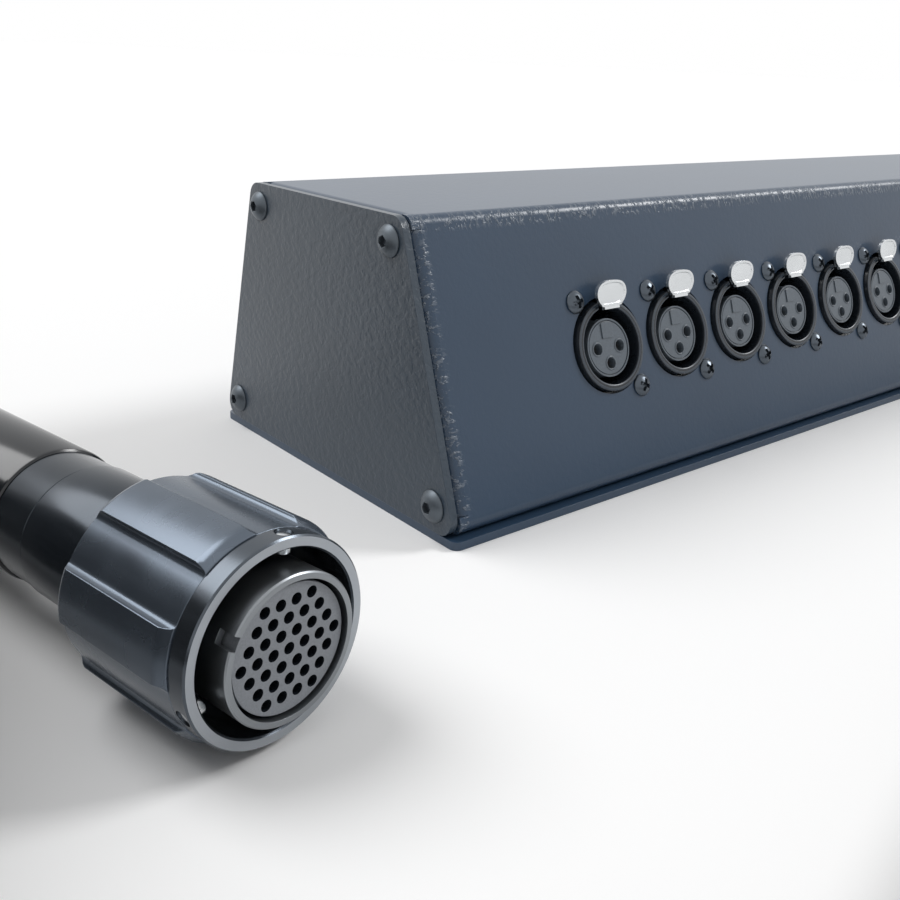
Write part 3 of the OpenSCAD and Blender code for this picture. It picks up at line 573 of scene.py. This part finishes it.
def soften(piece, width_mm):
    """Rounds a piece's edges as paint, plating or a mould does, and keeps its flat faces flat."""
    bevel = piece.modifiers.new("rounded_edges", "BEVEL")
    bevel.width = width_mm * MM
    bevel.segments = 2
    bevel.limit_method = "ANGLE"
    bevel.angle_limit = math.radians(CREASE_DEG)
    bevel.harden_normals = True
    flat = piece.modifiers.new("flat_faces", "WEIGHTED_NORMAL")
    flat.keep_sharp = True


def socket_place(number):
    """The frame of one socket: X along the row, Y up the panel, Z out of it, in millimetres."""
    low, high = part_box("socket_shell_" + number)
    foot = moved((low.x + high.x) / 2, PANEL_FOOT[0] * MM, PANEL_FOOT[1] * MM)
    return foot @ Matrix.Rotation(PANEL_ANGLE, 4, "X") @ moved(0, ROW_UP * MM, 0) @ SCALE


def plug_place():
    """The frame of the plug: Z out of its nose, X down, from the coupling joint, in millimetres."""
    turn = next(j for j in frame["joints"] if j["name"] == "coupling_turn")
    z = Vector(turn["axis"])
    x = Vector((0, 0, -1))
    basis = Matrix((x, z.cross(x), z)).transposed().to_4x4()
    return moved(*turn["pos_m"]) @ basis @ SCALE


def coil_drop(u):
    """How many layers lower the coil lies after u turns: it steps down smoothly where each layer ends."""
    per_layer = COIL_TURNS / COIL_LAYERS
    steps = [max(0.0, min(1.0, (u - k * per_layer + 0.25) / 0.5)) for k in range(1, COIL_LAYERS)]
    return sum(x * x * (3 - 2 * x) for x in steps)


def coil_point(u):
    per_layer = COIL_TURNS / COIL_LAYERS
    radius = COIL_R - COIL_STEP * abs(u - 2 * per_layer * round(u / (2 * per_layer)))
    turn = math.radians(90 + 360 * u)
    return (COIL_CENTRE[0] + radius * math.cos(turn), COIL_CENTRE[1] + radius * math.sin(turn),
            COIL_TOP_Z - COIL_STEP * coil_drop(u))


def cord_line():
    """The multicore's centreline in metres: the run, the coil from its foot to its top, and the lead."""
    coil = [coil_point(k / RINGS_PER_TURN) for k in range(int(COIL_TURNS * RINGS_PER_TURN) + 1)]
    return [Vector(p) * MM for p in RUN_ROUTE + coil[::-1] + LEAD_ROUTE[::-1]]


class STAGEBOX_OT_camera(bpy.types.Operator):
    """Sets the camera at the photograph's place and framing"""

    bl_idname = "stagebox.camera"
    bl_label = "Camera"

    def execute(self, context):
        level_reach = math.cos(CAMERA_DOWN)
        ahead = Vector((math.sin(CAMERA_YAW) * level_reach, math.cos(CAMERA_YAW) * level_reach,
                        -math.sin(CAMERA_DOWN)))
        level = Vector((math.cos(CAMERA_YAW), -math.sin(CAMERA_YAW), 0))
        upright = level.cross(ahead)
        right = level * math.cos(CAMERA_ROLL) + upright * math.sin(CAMERA_ROLL)
        up = upright * math.cos(CAMERA_ROLL) - level * math.sin(CAMERA_ROLL)
        data = bpy.data.cameras.new("camera")
        data.sensor_width = SENSOR_MM
        data.lens = SENSOR_MM * CAMERA_FOCAL_PX / IMAGE_PX
        data.shift_x = (IMAGE_PX / 2 - CAMERA_CENTRE_PX[0]) / IMAGE_PX
        data.shift_y = (CAMERA_CENTRE_PX[1] - IMAGE_PX / 2) / IMAGE_PX
        data.clip_start = 0.01
        data.clip_end = 50
        camera = bpy.data.objects.new("camera", data)
        basis = Matrix((right, up, -ahead)).transposed().to_4x4()
        camera.matrix_world = moved(*CAMERA_PLACE) @ basis
        context.scene.collection.objects.link(camera)
        context.scene.camera = camera
        return {"FINISHED"}


class STAGEBOX_OT_screws(bpy.types.Operator):
    """Turns the button heads of the case, its base screws and the cross-head screws of the sockets"""

    bl_idname = "stagebox.screws"
    bl_label = "Screws"

    def execute(self, context):
        self.case_screws()
        self.socket_screws()
        return {"FINISHED"}

    def case_screws(self):
        button = domed_screw(head_d=7.7, head_h=2.2, shank_d=4.9, shank_l=8, recess=hexagon(1.25), depth=1.4)
        low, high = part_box("end_plate_left")
        bm = bmesh.new()
        for side in (-1, 1):
            turn = turned(90 * side, "Y")
            for z in (8, 65):
                share = (z - PANEL_FOOT[1]) / PANEL_RISE
                front = -HALF_DEPTH + share * PANEL_LEAN + END_SCREW_IN
                rear = HALF_DEPTH - share * REAR_LEAN - END_SCREW_IN
                for y in (front, rear):
                    spun = turned(17 * y, "Z")
                    put(bm, button, moved(-side * low.x / MM, y, z) @ turn @ spun)
        recess = cross(1.9, 1.1)
        rings = [(1.9, -7), (1.9, -2.1), (3.95, -0.2), (3.95, -0.05), (3.0, -0.05)]
        rings += [(scaled(recess, 1.1), -0.05), (recess, -0.2), (scaled(recess, 0.9), -1.3), (0.3, -1.7)]
        sunk = ringed(rings, SCREW_STEPS)
        for x in (-176, 0, 176):
            for y in (-47, 47):
                put(bm, sunk, moved(x, y, 0) @ turned(180, "X"))
        show("case_screw_set", bm, "black_screws", "case_screws", SCALE, 40, finish="case_screws")

    def socket_screws(self):
        head = domed_screw(head_d=5.8, head_h=1.7, shank_d=2.9, shank_l=7.5, recess=cross(1.8, 0.95),
                           depth=sizes().recess)
        bm = bmesh.new()
        for i, number in enumerate(SOCKETS):
            for k, (x, y) in enumerate(((-9.5, 12), (9.5, -12))):
                spun = turned(12 + (37 * i + 53 * k) % 60, "Z")
                put(bm, head, socket_place(number) @ moved(x, y, 0) @ spun)
        show("socket_screw_set", bm, "black_screws", "socket_screws", crease_deg=40)


class STAGEBOX_OT_sockets(bpy.types.Operator):
    """Moulds the twelve socket shells and their contact inserts"""

    bl_idname = "stagebox.sockets"
    bl_label = "Sockets"
    # How far below the flange's middle the insert and the ring lie
    insert_low = 0.7
    ring_low = 0.3
    # Height of the insert's face over the panel, and the radii of its rim, field and circle of contacts
    face_z = -0.3
    rim_r = 7.5
    field_r = 6.8
    contact_r = 4

    def execute(self, context):
        face = self.insert()
        contacts = bmesh.new()
        tube = lathe([(0.8, -16), (1.25, -16), (1.25, -3.4), (1.1, -3.2), (0.8, -3.2)], steps=20)
        for number in SOCKETS:
            place = socket_place(number)
            shell = show("socket_body_" + number, self.shell(number), "socket_black",
                         "socket_shell_" + number, place)
            # The lip's front faces get the lighter nylon, a painted reflection
            refinish(shell, place, "nylon_painted_sheen", self.on_lip)
            soften(shell, 0.12)
            insert = show("contact_block_" + number, face.copy(), "socket_insert_grey",
                          "socket_insert_" + number, place)
            soften(insert, 0.12)
            for x, y in self.contact_points():
                put(contacts, tube, place @ moved(x, y - self.insert_low, 0))
        show("socket_contact_tubes", contacts, "contact_metal", "socket_contacts")
        face.free()
        return {"FINISHED"}

    def on_lip(self, tilt, spot):
        """Whether a face belongs to the ring's front, which is painted lighter as a painted reflection."""
        return tilt > 0.8 and spot.z > 0.9 and 9.9 < math.hypot(spot.x, spot.y + self.ring_low) < 11.5

    def contact_points(self):
        angles = (0, math.pi, -math.pi / 2)
        return [(self.contact_r * math.cos(a), self.contact_r * math.sin(a)) for a in angles]

    def shell(self, number):
        """The moulded shell, whose ring has an upright outside and a lip that rises towards the mouth."""
        lip = [(11.55, 0.75), (11.55, 1.0), (11.45, 1.12), (11.2, 1.18), (10.8, 1.22), (10.35, 1.26),
               (10.1, 1.24), (9.93, 1.12), (9.82, 0.85), (9.78, 0.4)]
        bm = merged_copy("socket_shell_" + number)
        bmesh.ops.transform(bm, matrix=socket_place(number).inverted(), verts=bm.verts)
        for vert in bm.verts:
            r = math.hypot(vert.co.x, vert.co.y)
            # Only the ring's own points, and none of the flange's
            if vert.co.z > -1 and 9 < r < 12.6:
                outer = r > 10.85
                swing = math.degrees(math.atan2(max(0.0, vert.co.z - 0.1), r - (11.0 if outer else 10.7)))
                step = swing / 22.5 + (0 if outer else 1)
                at = min(len(lip) - 2, int(step))
                (r0, z0), (r1, z1) = lip[at], lip[at + 1]
                reach, height = r0 + (r1 - r0) * (step - at), z0 + (z1 - z0) * (step - at)
                vert.co = (vert.co.x * reach / r, vert.co.y * reach / r - self.ring_low, height)
        return bm

    def insert(self):
        """The insert: a plug with three collared holes, and on its face a rim, a field and a raised key."""
        holes = [circle(point, 1.45, 24) for point in self.contact_points()]
        top = self.face_z
        bm = bmesh.new()
        rim, inside, field = (circle((0, 0), r, 72) for r in (self.rim_r, self.rim_r - 0.45, self.field_r))
        put(bm, plate([rim] + holes, top + 18.1), moved(0, 0, -18.5))
        put(bm, plate([field] + holes, 0.4), moved(0, 0, top - 0.4))
        put(bm, plate([rim, inside], 0.5), moved(0, 0, top - 0.4))
        half, reach = 1.9, self.field_r - 0.2
        side = math.degrees(math.acos(half / reach))
        key = [(-half, 2.5), (half, 2.5)] + arc((0, 0), reach, side, 180 - side, 12)
        put(bm, plate([key], 0.35), moved(0.2, 0, top - 0.02))
        collar = lathe([(1.45, -0.3), (1.45, 0.14), (1.55, 0.24), (1.7, 0.24), (1.9, 0.08), (2.0, -0.3)],
                       steps=32)
        for x, y in self.contact_points():
            put(bm, collar, moved(x, y, top))
        bmesh.ops.translate(bm, verts=bm.verts, vec=(0, -self.insert_low, 0))
        return bm


class STAGEBOX_OT_push_tabs(bpy.types.Operator):
    """Forms the twelve bright push tabs with their latch arms"""

    bl_idname = "stagebox.push_tabs"
    bl_label = "Push tabs"

    def execute(self, context):
        tab = self.tab()
        for number in SOCKETS:
            piece = show("thumb_tab_" + number, tab.copy(), "bright_steel", "push_tab_" + number,
                         socket_place(number), body="tab_" + number)
            soften(piece, 0.16)
        tab.free()
        return {"FINISHED"}

    def tab(self):
        """The thumb plate has a raised rim and leans out at its top. Its arm reaches back to the pivot."""
        right = [(2.1, 3.2), (3.7, 2.7), (4.8, 1.7), (5.2, 0.5), (5.15, -0.6), (4.6, -1.8), (3.7, -2.7),
                 (2.9, -3.2)]
        outline = eased([(0, 3.35)] + right + [(-x, y) for x, y in right[::-1]], 3)
        bm = plate([outline], 1.0)
        top = [f for f in bm.faces if f.normal.z > 0.9]
        bmesh.ops.inset_region(bm, faces=top, thickness=0.6, depth=0)
        bmesh.ops.inset_region(bm, faces=top, thickness=0.2, depth=-0.22)
        lean = turned(12, "X")
        bmesh.ops.transform(bm, matrix=moved(0, 13.0, 3.1) @ lean, verts=bm.verts)
        put(bm, plate([[(-2.7, 9.0), (2.7, 9.0), (2.7, 10.3), (-2.7, 10.3)]], 1.0), moved(0, 0, 2.35))
        arm = [(9.9, -9.6), (10.8, -9.6), (10.8, 3.3), (9.9, 3.3), (9.9, -4), (9.0, -6.2), (9.9, -6.8)]
        put(bm, plate([arm], 4.8), standing(-2.4))
        pin = lathe([(0, -4), (0.6, -4), (0.6, 4), (0, 4)], closed=False, steps=16)
        put(bm, pin, moved(0, 10.35, -9) @ turned(90, "Y"))
        return bm


class STAGEBOX_OT_gland(bpy.types.Operator):
    """Turns the nickel plated gland that clamps the multicore in the end plate"""

    bl_idname = "stagebox.gland"
    bl_label = "Cable gland"

    def execute(self, context):
        place = SCALE @ moved(*GLAND_PLACE) @ turned(90, "Y")
        body = bmesh.new()
        put(body, lathe([(8.7, -12), (12.5, -12), (12.5, 1), (13.5, 6.5), (13.5, 16), (8.7, 16)]))
        put(body, self.hexagon_band(0, 6))
        soften(show("gland_stem", body, "plated_metal", "gland_body", place, 24), 0.15)
        nut = bmesh.new()
        put(nut, self.hexagon_band(7, 21))
        cap = [(14.6, 20.6), (14.6, 24), (14.3, 26.5), (13.4, 29), (12.6, 31), (11.8, 32.4), (11.0, 33.5)]
        put(nut, lathe([(8.75, 20), (13.7, 20)] + cap + [(10.2, 34), (8.75, 34)]))
        soften(show("gland_cap", nut, "plated_metal", "gland_nut", place, 24), 0.15)
        return {"FINISHED"}

    def hexagon_band(self, back, front):
        """Hexagon across its flats, whose corners are turned off at 30 degrees."""
        flats = hexagon(15)
        cut = lambda reach: (lambda angle: min(flats(angle), reach))
        chamfer = ((cut(15.4), 0.25), (cut(16.3), 0.7), (cut(17.4), 1.3))
        rings = [(14.6, back)] + [(radius, back + step) for radius, step in chamfer]
        rings += [(radius, front - step) for radius, step in chamfer[::-1]] + [(14.6, front)]
        return ringed(rings, 96)


class STAGEBOX_OT_plug(bpy.types.Operator):
    """Turns the multipin plug: coupling ring, bayonet ring, shell, insert, backshell and clamp sleeve"""

    bl_idname = "stagebox.plug"
    bl_label = "Multipin plug"
    # The contacts' pitch, and the bayonet pins' angles and their height on the plug's axis
    pitch = 2.94
    pin_angles = (51, 171, 291)
    pin_z = -2.1

    def execute(self, context):
        place = plug_place()
        fluted = show("fluted_ring", merged_copy("coupling_ring"), "black_anodised", "coupling_ring",
                      body="coupling")
        soften(fluted, 0.22)
        nose = show("smooth_nose_ring", merged_copy("bayonet_ring"), "smooth_ring", "bayonet_ring",
                    body="coupling")
        # The nose ring's front faces get the paler finish, a painted reflection
        refinish(nose, place, "rim_painted_reflection", lambda tilt, spot: tilt > 0.9 and spot.z > -0.5)
        soften(nose, 0.15)
        soften(show("inner_shell", merged_copy("plug_shell"), "grey_shell", "plug_shell"), 0.12)
        disc = show("contact_disc", self.disc(), "grey_insert", "plug_insert", place)
        # The walls of the contact holes get the black finish: painted shade inside the holes
        refinish(disc, place, "socket_black", lambda tilt, spot: abs(tilt) < 0.5 and spot.xy.length < 10.2)
        soften(disc, 0.06)
        show("sunk_contacts", self.contacts(), "contact_metal", "plug_contacts", place)
        show("nose_rivets", self.rivets(), "bright_steel", "bayonet_pins", place, body="coupling")
        show("rear_shell", self.rear_shell(), "black_shell", "backshell", place, 24)
        show("clamping_sleeve", self.sleeve(), "black_sleeve", "clamp_sleeve", place, 24)
        return {"FINISHED"}

    def hole_points(self):
        """37 places in a hexagon of seven rows."""
        return [(-row * self.pitch * math.sqrt(0.75), (k - (6 - abs(row)) / 2) * self.pitch)
                for row in range(-3, 4) for k in range(7 - abs(row))]

    def contacts(self):
        bm = bmesh.new()
        pin = lathe([(0, -14), (0.8, -14), (0.8, -8.2), (0.6, -8), (0, -8)], closed=False, steps=16)
        for x, y in self.hole_points():
            put(bm, pin, moved(x, y, 0))
        return bm

    def disc(self):
        """The insert with its holes."""
        holes = [circle(point, 0.95, 20) for point in self.hole_points()]
        bm = plate([circle((0, 0), 10.4, 96)] + holes, 14.2)
        bmesh.ops.translate(bm, verts=bm.verts, vec=(0, 0, -12))
        return bm

    def rivets(self):
        """Each bayonet pin: a rounded end inside and a slightly domed riveted head in the ring's face."""
        pin = lathe([(0, 13.45), (0.9, 13.5), (1.25, 13.7), (1.4, 14.0), (1.4, 16.25), (1.15, 16.45),
                     (0.6, 16.56), (0, 16.6)], closed=False, steps=32)
        bm = bmesh.new()
        for angle in self.pin_angles:
            put(bm, pin, turned(angle, "Z") @ moved(0, 0, self.pin_z) @ turned(90, "Y"))
        return bm

    def rear_shell(self):
        """Backshell: a gloss black barrel, a fine groove, and the bare band behind it."""
        rings = [(0, -64.7), (12.1, -64.7), (12.4, -64.4), (12.4, -54.3), (12.2, -54.15), (12.2, -53.95),
                 (12.55, -53.8), (12.7, -53.6), (12.7, -33.3), (12.55, -32.95), (12.2, -32.7), (10.3, -32.7),
                 (10.3, -60), (0, -60)]
        return lathe(rings, closed=False, steps=128)

    def sleeve(self):
        rings = [(0, -130), (9.1, -130), (9.6, -129.6), (9.9, -128.2), (10.5, -123.6), (11.4, -118),
                 (12.2, -115.4), (12.65, -114), (12.9, -112.6), (12.95, -111), (12.95, -65.4),
                 (12.8, -64.95), (12.4, -64.7), (0, -64.7)]
        return lathe(rings, closed=False, steps=128)


class STAGEBOX_OT_straps(bpy.types.Operator):
    """Binds the coil with four woven straps"""

    bl_idname = "stagebox.straps"
    bl_label = "Coil straps"
    width = 18
    thickness = 1.2

    def execute(self, context):
        bm = bmesh.new()
        bm.loops.layers.uv.new("Weave")
        for angle in (0, 90, 180, 270):
            place = moved(*COIL_CENTRE, 0) @ turned(angle, "Z")
            self.band(bm, place, self.round_trip(place, clear=1.2), closed=True)
            self.band(bm, place, self.tail(place, clear=2.5), closed=False)
        piece = show("coil_bands", bm, "strap_fabric", "coil_straps", SCALE, 60)
        thick = piece.modifiers.new("thickness", "SOLIDIFY")
        thick.thickness = self.thickness * MM
        thick.offset = 0
        return {"FINISHED"}

    def round_trip(self, place, clear):
        """The strap's way round the turns it binds: distance from the coil's axis, and height."""
        reach = CORD_D / 2 + clear
        outline = []
        for k in range(int(COIL_TURNS * 180) + 1):
            at = place.inverted() @ Vector(coil_point(k / 180))
            if at.x > 0 and abs(at.y) < self.width / 2 + 0.5:
                outline += [(x, max(z, 0.9)) for x, z in circle((at.x, at.z), reach, 32)]
        corners = [outline[i] for i in convex_hull_2d(outline)]
        first = min(range(len(corners)), key=lambda i: corners[i][0] + corners[i][1])
        corners = corners[first:] + corners[:first]
        path = []
        for (x0, z0), (x1, z1) in zip(corners, corners[1:] + corners[:1]):
            steps = max(1, int(math.hypot(x1 - x0, z1 - z0) / 5))
            path += [(x0 + (x1 - x0) * k / steps, z0 + (z1 - z0) * k / steps) for k in range(steps)]
        return path

    def tail(self, place, clear):
        """The strap's free end, folded over the top and pressed on the outer side."""
        path = self.round_trip(place, clear)
        far, high = max(x for x, z in path), max(z for x, z in path)
        return [(x, z) for x, z in path if x > far - 46 and z > high - 40]

    def band(self, bm, place, path, closed):
        """One layer of webbing along a path, with its length and width in metres on the UV map."""
        weave = bm.loops.layers.uv["Weave"]
        verts = [bm.verts.new(place @ Vector((x, -self.width / 2, z))) for x, z in path]
        run = [0.0]
        for a, b in zip(path, path[1:] + path[:1]):
            run.append(run[-1] + math.dist(a, b) * MM)
        pairs = list(zip(verts, verts[1:])) + ([(verts[-1], verts[0])] if closed else [])
        edges = [bm.edges.new(pair) for pair in pairs]
        at = {vert: run[i] for i, vert in enumerate(verts)}
        made = bmesh.ops.extrude_edge_only(bm, edges=edges)["geom"]
        across = place.to_3x3() @ Vector((0, self.width, 0))
        bmesh.ops.translate(bm, verts=only(BMVert, made), vec=across)
        for face in only(BMFace, made):
            for loop in face.loops:
                near = loop.vert in at
                home = loop.vert if near else next(e.other_vert(loop.vert) for e in loop.vert.link_edges
                                                   if e.other_vert(loop.vert) in at)
                last = closed and home is verts[0] and any(v is verts[-1] for v in face.verts)
                loop[weave].uv = (run[-1] if last else at[home], 0 if near else self.width * MM)


class STAGEBOX_OT_multicore(bpy.types.Operator):
    """Lays the multicore as one cord, from the gland through the coil to the plug"""

    bl_idname = "stagebox.multicore"
    bl_label = "Multicore"

    def execute(self, context):
        line = cord_line()
        curve = bpy.data.curves.new("multicore", "CURVE")
        curve.dimensions = "3D"
        curve.bevel_depth = CORD_D / 2 * MM
        curve.bevel_resolution = 3
        curve.resolution_u = 2
        curve.use_fill_caps = True
        spline = curve.splines.new("BEZIER")
        spline.bezier_points.add(len(line) - 1)
        for point, place in zip(spline.bezier_points, line):
            point.co = place
            point.handle_left_type = point.handle_right_type = "AUTO"
        cord = settle(bpy.data.objects.new("multicore", curve), "sheath",
                      ["multicore_run", "multicore_coil", "multicore_lead"])
        return {"FINISHED"}


class STAGEBOX_OT_case(bpy.types.Operator):
    """Paints the bent cover, the base plate and the two end plates"""

    bl_idname = "stagebox.case"
    bl_label = "Case"
    # How far each corner's filler reaches in from the cover's end
    filler = 2.5

    def execute(self, context):
        for name, node, slot in (
                ("painted_cover", "cover", "cover_paint"), ("painted_base", "base_plate", "cover_paint"),
                ("painted_end_left", "end_plate_left", "end_paint"),
                ("painted_end_right", "end_plate_right", "end_paint")):
            bm = merged_copy(node)
            if node == "cover":
                self.close_corners(bm)
            finish = "base_paint" if node == "base_plate" else None
            soften(show(name, bm, slot, node, finish=finish), sizes().paint_round)
        return {"FINISHED"}

    def close_corners(self, bm):
        """Carries the four bends of the cover on to its ends, up to a small notch."""
        front = Vector((PANEL_LEAN, PANEL_RISE)).normalized()
        rear = Vector((REAR_LEAN, -PANEL_RISE)).normalized()
        back, ahead = Vector((-1, 0)), Vector((1, 0))
        corners = (
            (PANEL_FOOT, back, front), ((PANEL_LEAN - HALF_DEPTH, CASE_TOP), front, ahead),
            ((HALF_DEPTH - REAR_LEAN, CASE_TOP), ahead, rear), ((HALF_DEPTH, PANEL_FOOT[1]), rear, back),
        )
        for corner, before, after in corners:
            outline = self.bend(Vector(corner), before, after, BEND_R, 0.0)
            outline += self.bend(Vector(corner), before, after, BEND_R, SHEET_T)[::-1]
            strip = plate([outline], self.filler)
            for x in (-COVER_HALF, COVER_HALF - self.filler):
                put(bm, strip, SCALE @ standing(x))

    def bend(self, corner, before, after, radius, inset):
        """A straight, the arc and a straight along a bent sheet's outer face, or inside it by an inset."""
        half = before.angle(after) / 2
        reach = radius * math.tan(half)
        inward = Vector((before.y, -before.x))
        centre = corner - before * reach + inward * radius
        points = [corner - before * (reach + 0.9) + inward * inset]
        start = math.degrees(math.atan2(-inward.y, -inward.x))
        points += [Vector(p) for p in arc(centre, radius - inset, start, start - math.degrees(half) * 2, 6)]
        points.append(corner + after * (reach + 0.9) + Vector((after.y, -after.x)) * inset)
        return [tuple(p) for p in points]


class STAGEBOX_OT_stage(bpy.types.Operator):
    """Lays a plain pale floor and sets soft studio light"""

    bl_idname = "stagebox.stage"
    bl_label = "Stage"

    def execute(self, context):
        self.floor(context)
        self.world(context)
        self.sun(context, "key_light", (0.85, -0.38, 0.66), 1.4, 18)
        self.sun(context, "top_light", (-0.35, 0.5, 0.8), 1.6, 40)
        context.scene.view_settings.view_transform = "Standard"
        return {"FINISHED"}

    def floor(self, context):
        bm = bmesh.new()
        bmesh.ops.create_grid(bm, x_segments=8, y_segments=8, size=40)
        mesh = bpy.data.meshes.new("floor")
        bm.to_mesh(mesh)
        bm.free()
        floor = bpy.data.objects.new("floor", mesh)
        material, tree = new_material("matt_white_paper")
        finish_surface(tree, linear("#FBFBFB"), roughness=0.9, sockets={"Specular IOR Level": 0.1})
        mesh.materials.append(material)
        context.scene.collection.objects.link(floor)

    def world(self, context):
        """White to the camera, to gloss and through glass. As light on the object it is only a soft fill."""
        world = bpy.data.worlds.new("white_studio")
        world.use_nodes = True
        tree = world.node_tree
        tree.nodes.clear()
        path = add(tree, "ShaderNodeLightPath")
        seen = path.outputs["Is Camera Ray"]
        for kind in ("Is Glossy Ray", "Is Transmission Ray"):
            seen = maths(tree, "MAXIMUM", seen, path.outputs[kind])
        strength = add(tree, "ShaderNodeMix", {"Factor": seen, "A": FILL, "B": 1.0})
        white = {"Color": (1, 1, 1, 1), "Strength": strength.outputs["Result"]}
        light = add(tree, "ShaderNodeBackground", white)
        add(tree, "ShaderNodeOutputWorld", {"Surface": light.outputs["Background"]})
        context.scene.world = world

    def sun(self, context, name, toward, strength, spread_deg):
        data = bpy.data.lights.new(name, "SUN")
        data.energy = strength
        data.angle = math.radians(spread_deg)
        lamp = bpy.data.objects.new(name, data)
        lamp.rotation_mode = "QUATERNION"
        lamp.rotation_quaternion = Vector(toward).to_track_quat("Z", "Y")
        context.scene.collection.objects.link(lamp)


class STAGEBOX_OT_carried_over(bpy.types.Operator):
    """Gives every CAD node that still shows its own finish"""

    bl_idname = "stagebox.carried_over"
    bl_label = "Inner pieces"

    def execute(self, context):
        slots = {row["node"]: row["material_slot"] for row in frame["record"]["subparts"]}
        for name, node in frame["nodes"].items():
            node.data.materials.clear()
            node.data.materials.append(FINISHES[slots[name]])
        return {"FINISHED"}


class STAGEBOX_PT_panel(bpy.types.Panel):
    """Lists the operators that build the stage box"""

    bl_idname = "STAGEBOX_PT_panel"
    bl_label = "Stage box"
    bl_space_type = "VIEW_3D"
    bl_region_type = "UI"
    bl_category = "Stage box"

    def draw(self, context):
        for operator in OPERATORS:
            self.layout.operator(operator.bl_idname)


OPERATORS = (
    STAGEBOX_OT_camera, STAGEBOX_OT_case, STAGEBOX_OT_screws, STAGEBOX_OT_sockets, STAGEBOX_OT_push_tabs,
    STAGEBOX_OT_gland, STAGEBOX_OT_plug, STAGEBOX_OT_straps, STAGEBOX_OT_multicore, STAGEBOX_OT_carried_over,
    STAGEBOX_OT_stage,
)
CLASSES = (StageBoxSizes, StageBoxColours, *OPERATORS, STAGEBOX_PT_panel)


def register():
    for cls in CLASSES:
        bpy.utils.register_class(cls)
    bpy.types.Scene.stage_box_sizes = PointerProperty(type=StageBoxSizes)
    bpy.types.Scene.stage_box_colours = PointerProperty(type=StageBoxColours)


def unregister():
    del bpy.types.Scene.stage_box_colours
    del bpy.types.Scene.stage_box_sizes
    for cls in reversed(CLASSES):
        bpy.utils.unregister_class(cls)


def main():
    register()
    make_finishes()
    for operator in OPERATORS:
        group, action = operator.bl_idname.split(".")
        getattr(getattr(bpy.ops, group), action)()


if __name__ == "__main__":
    main()
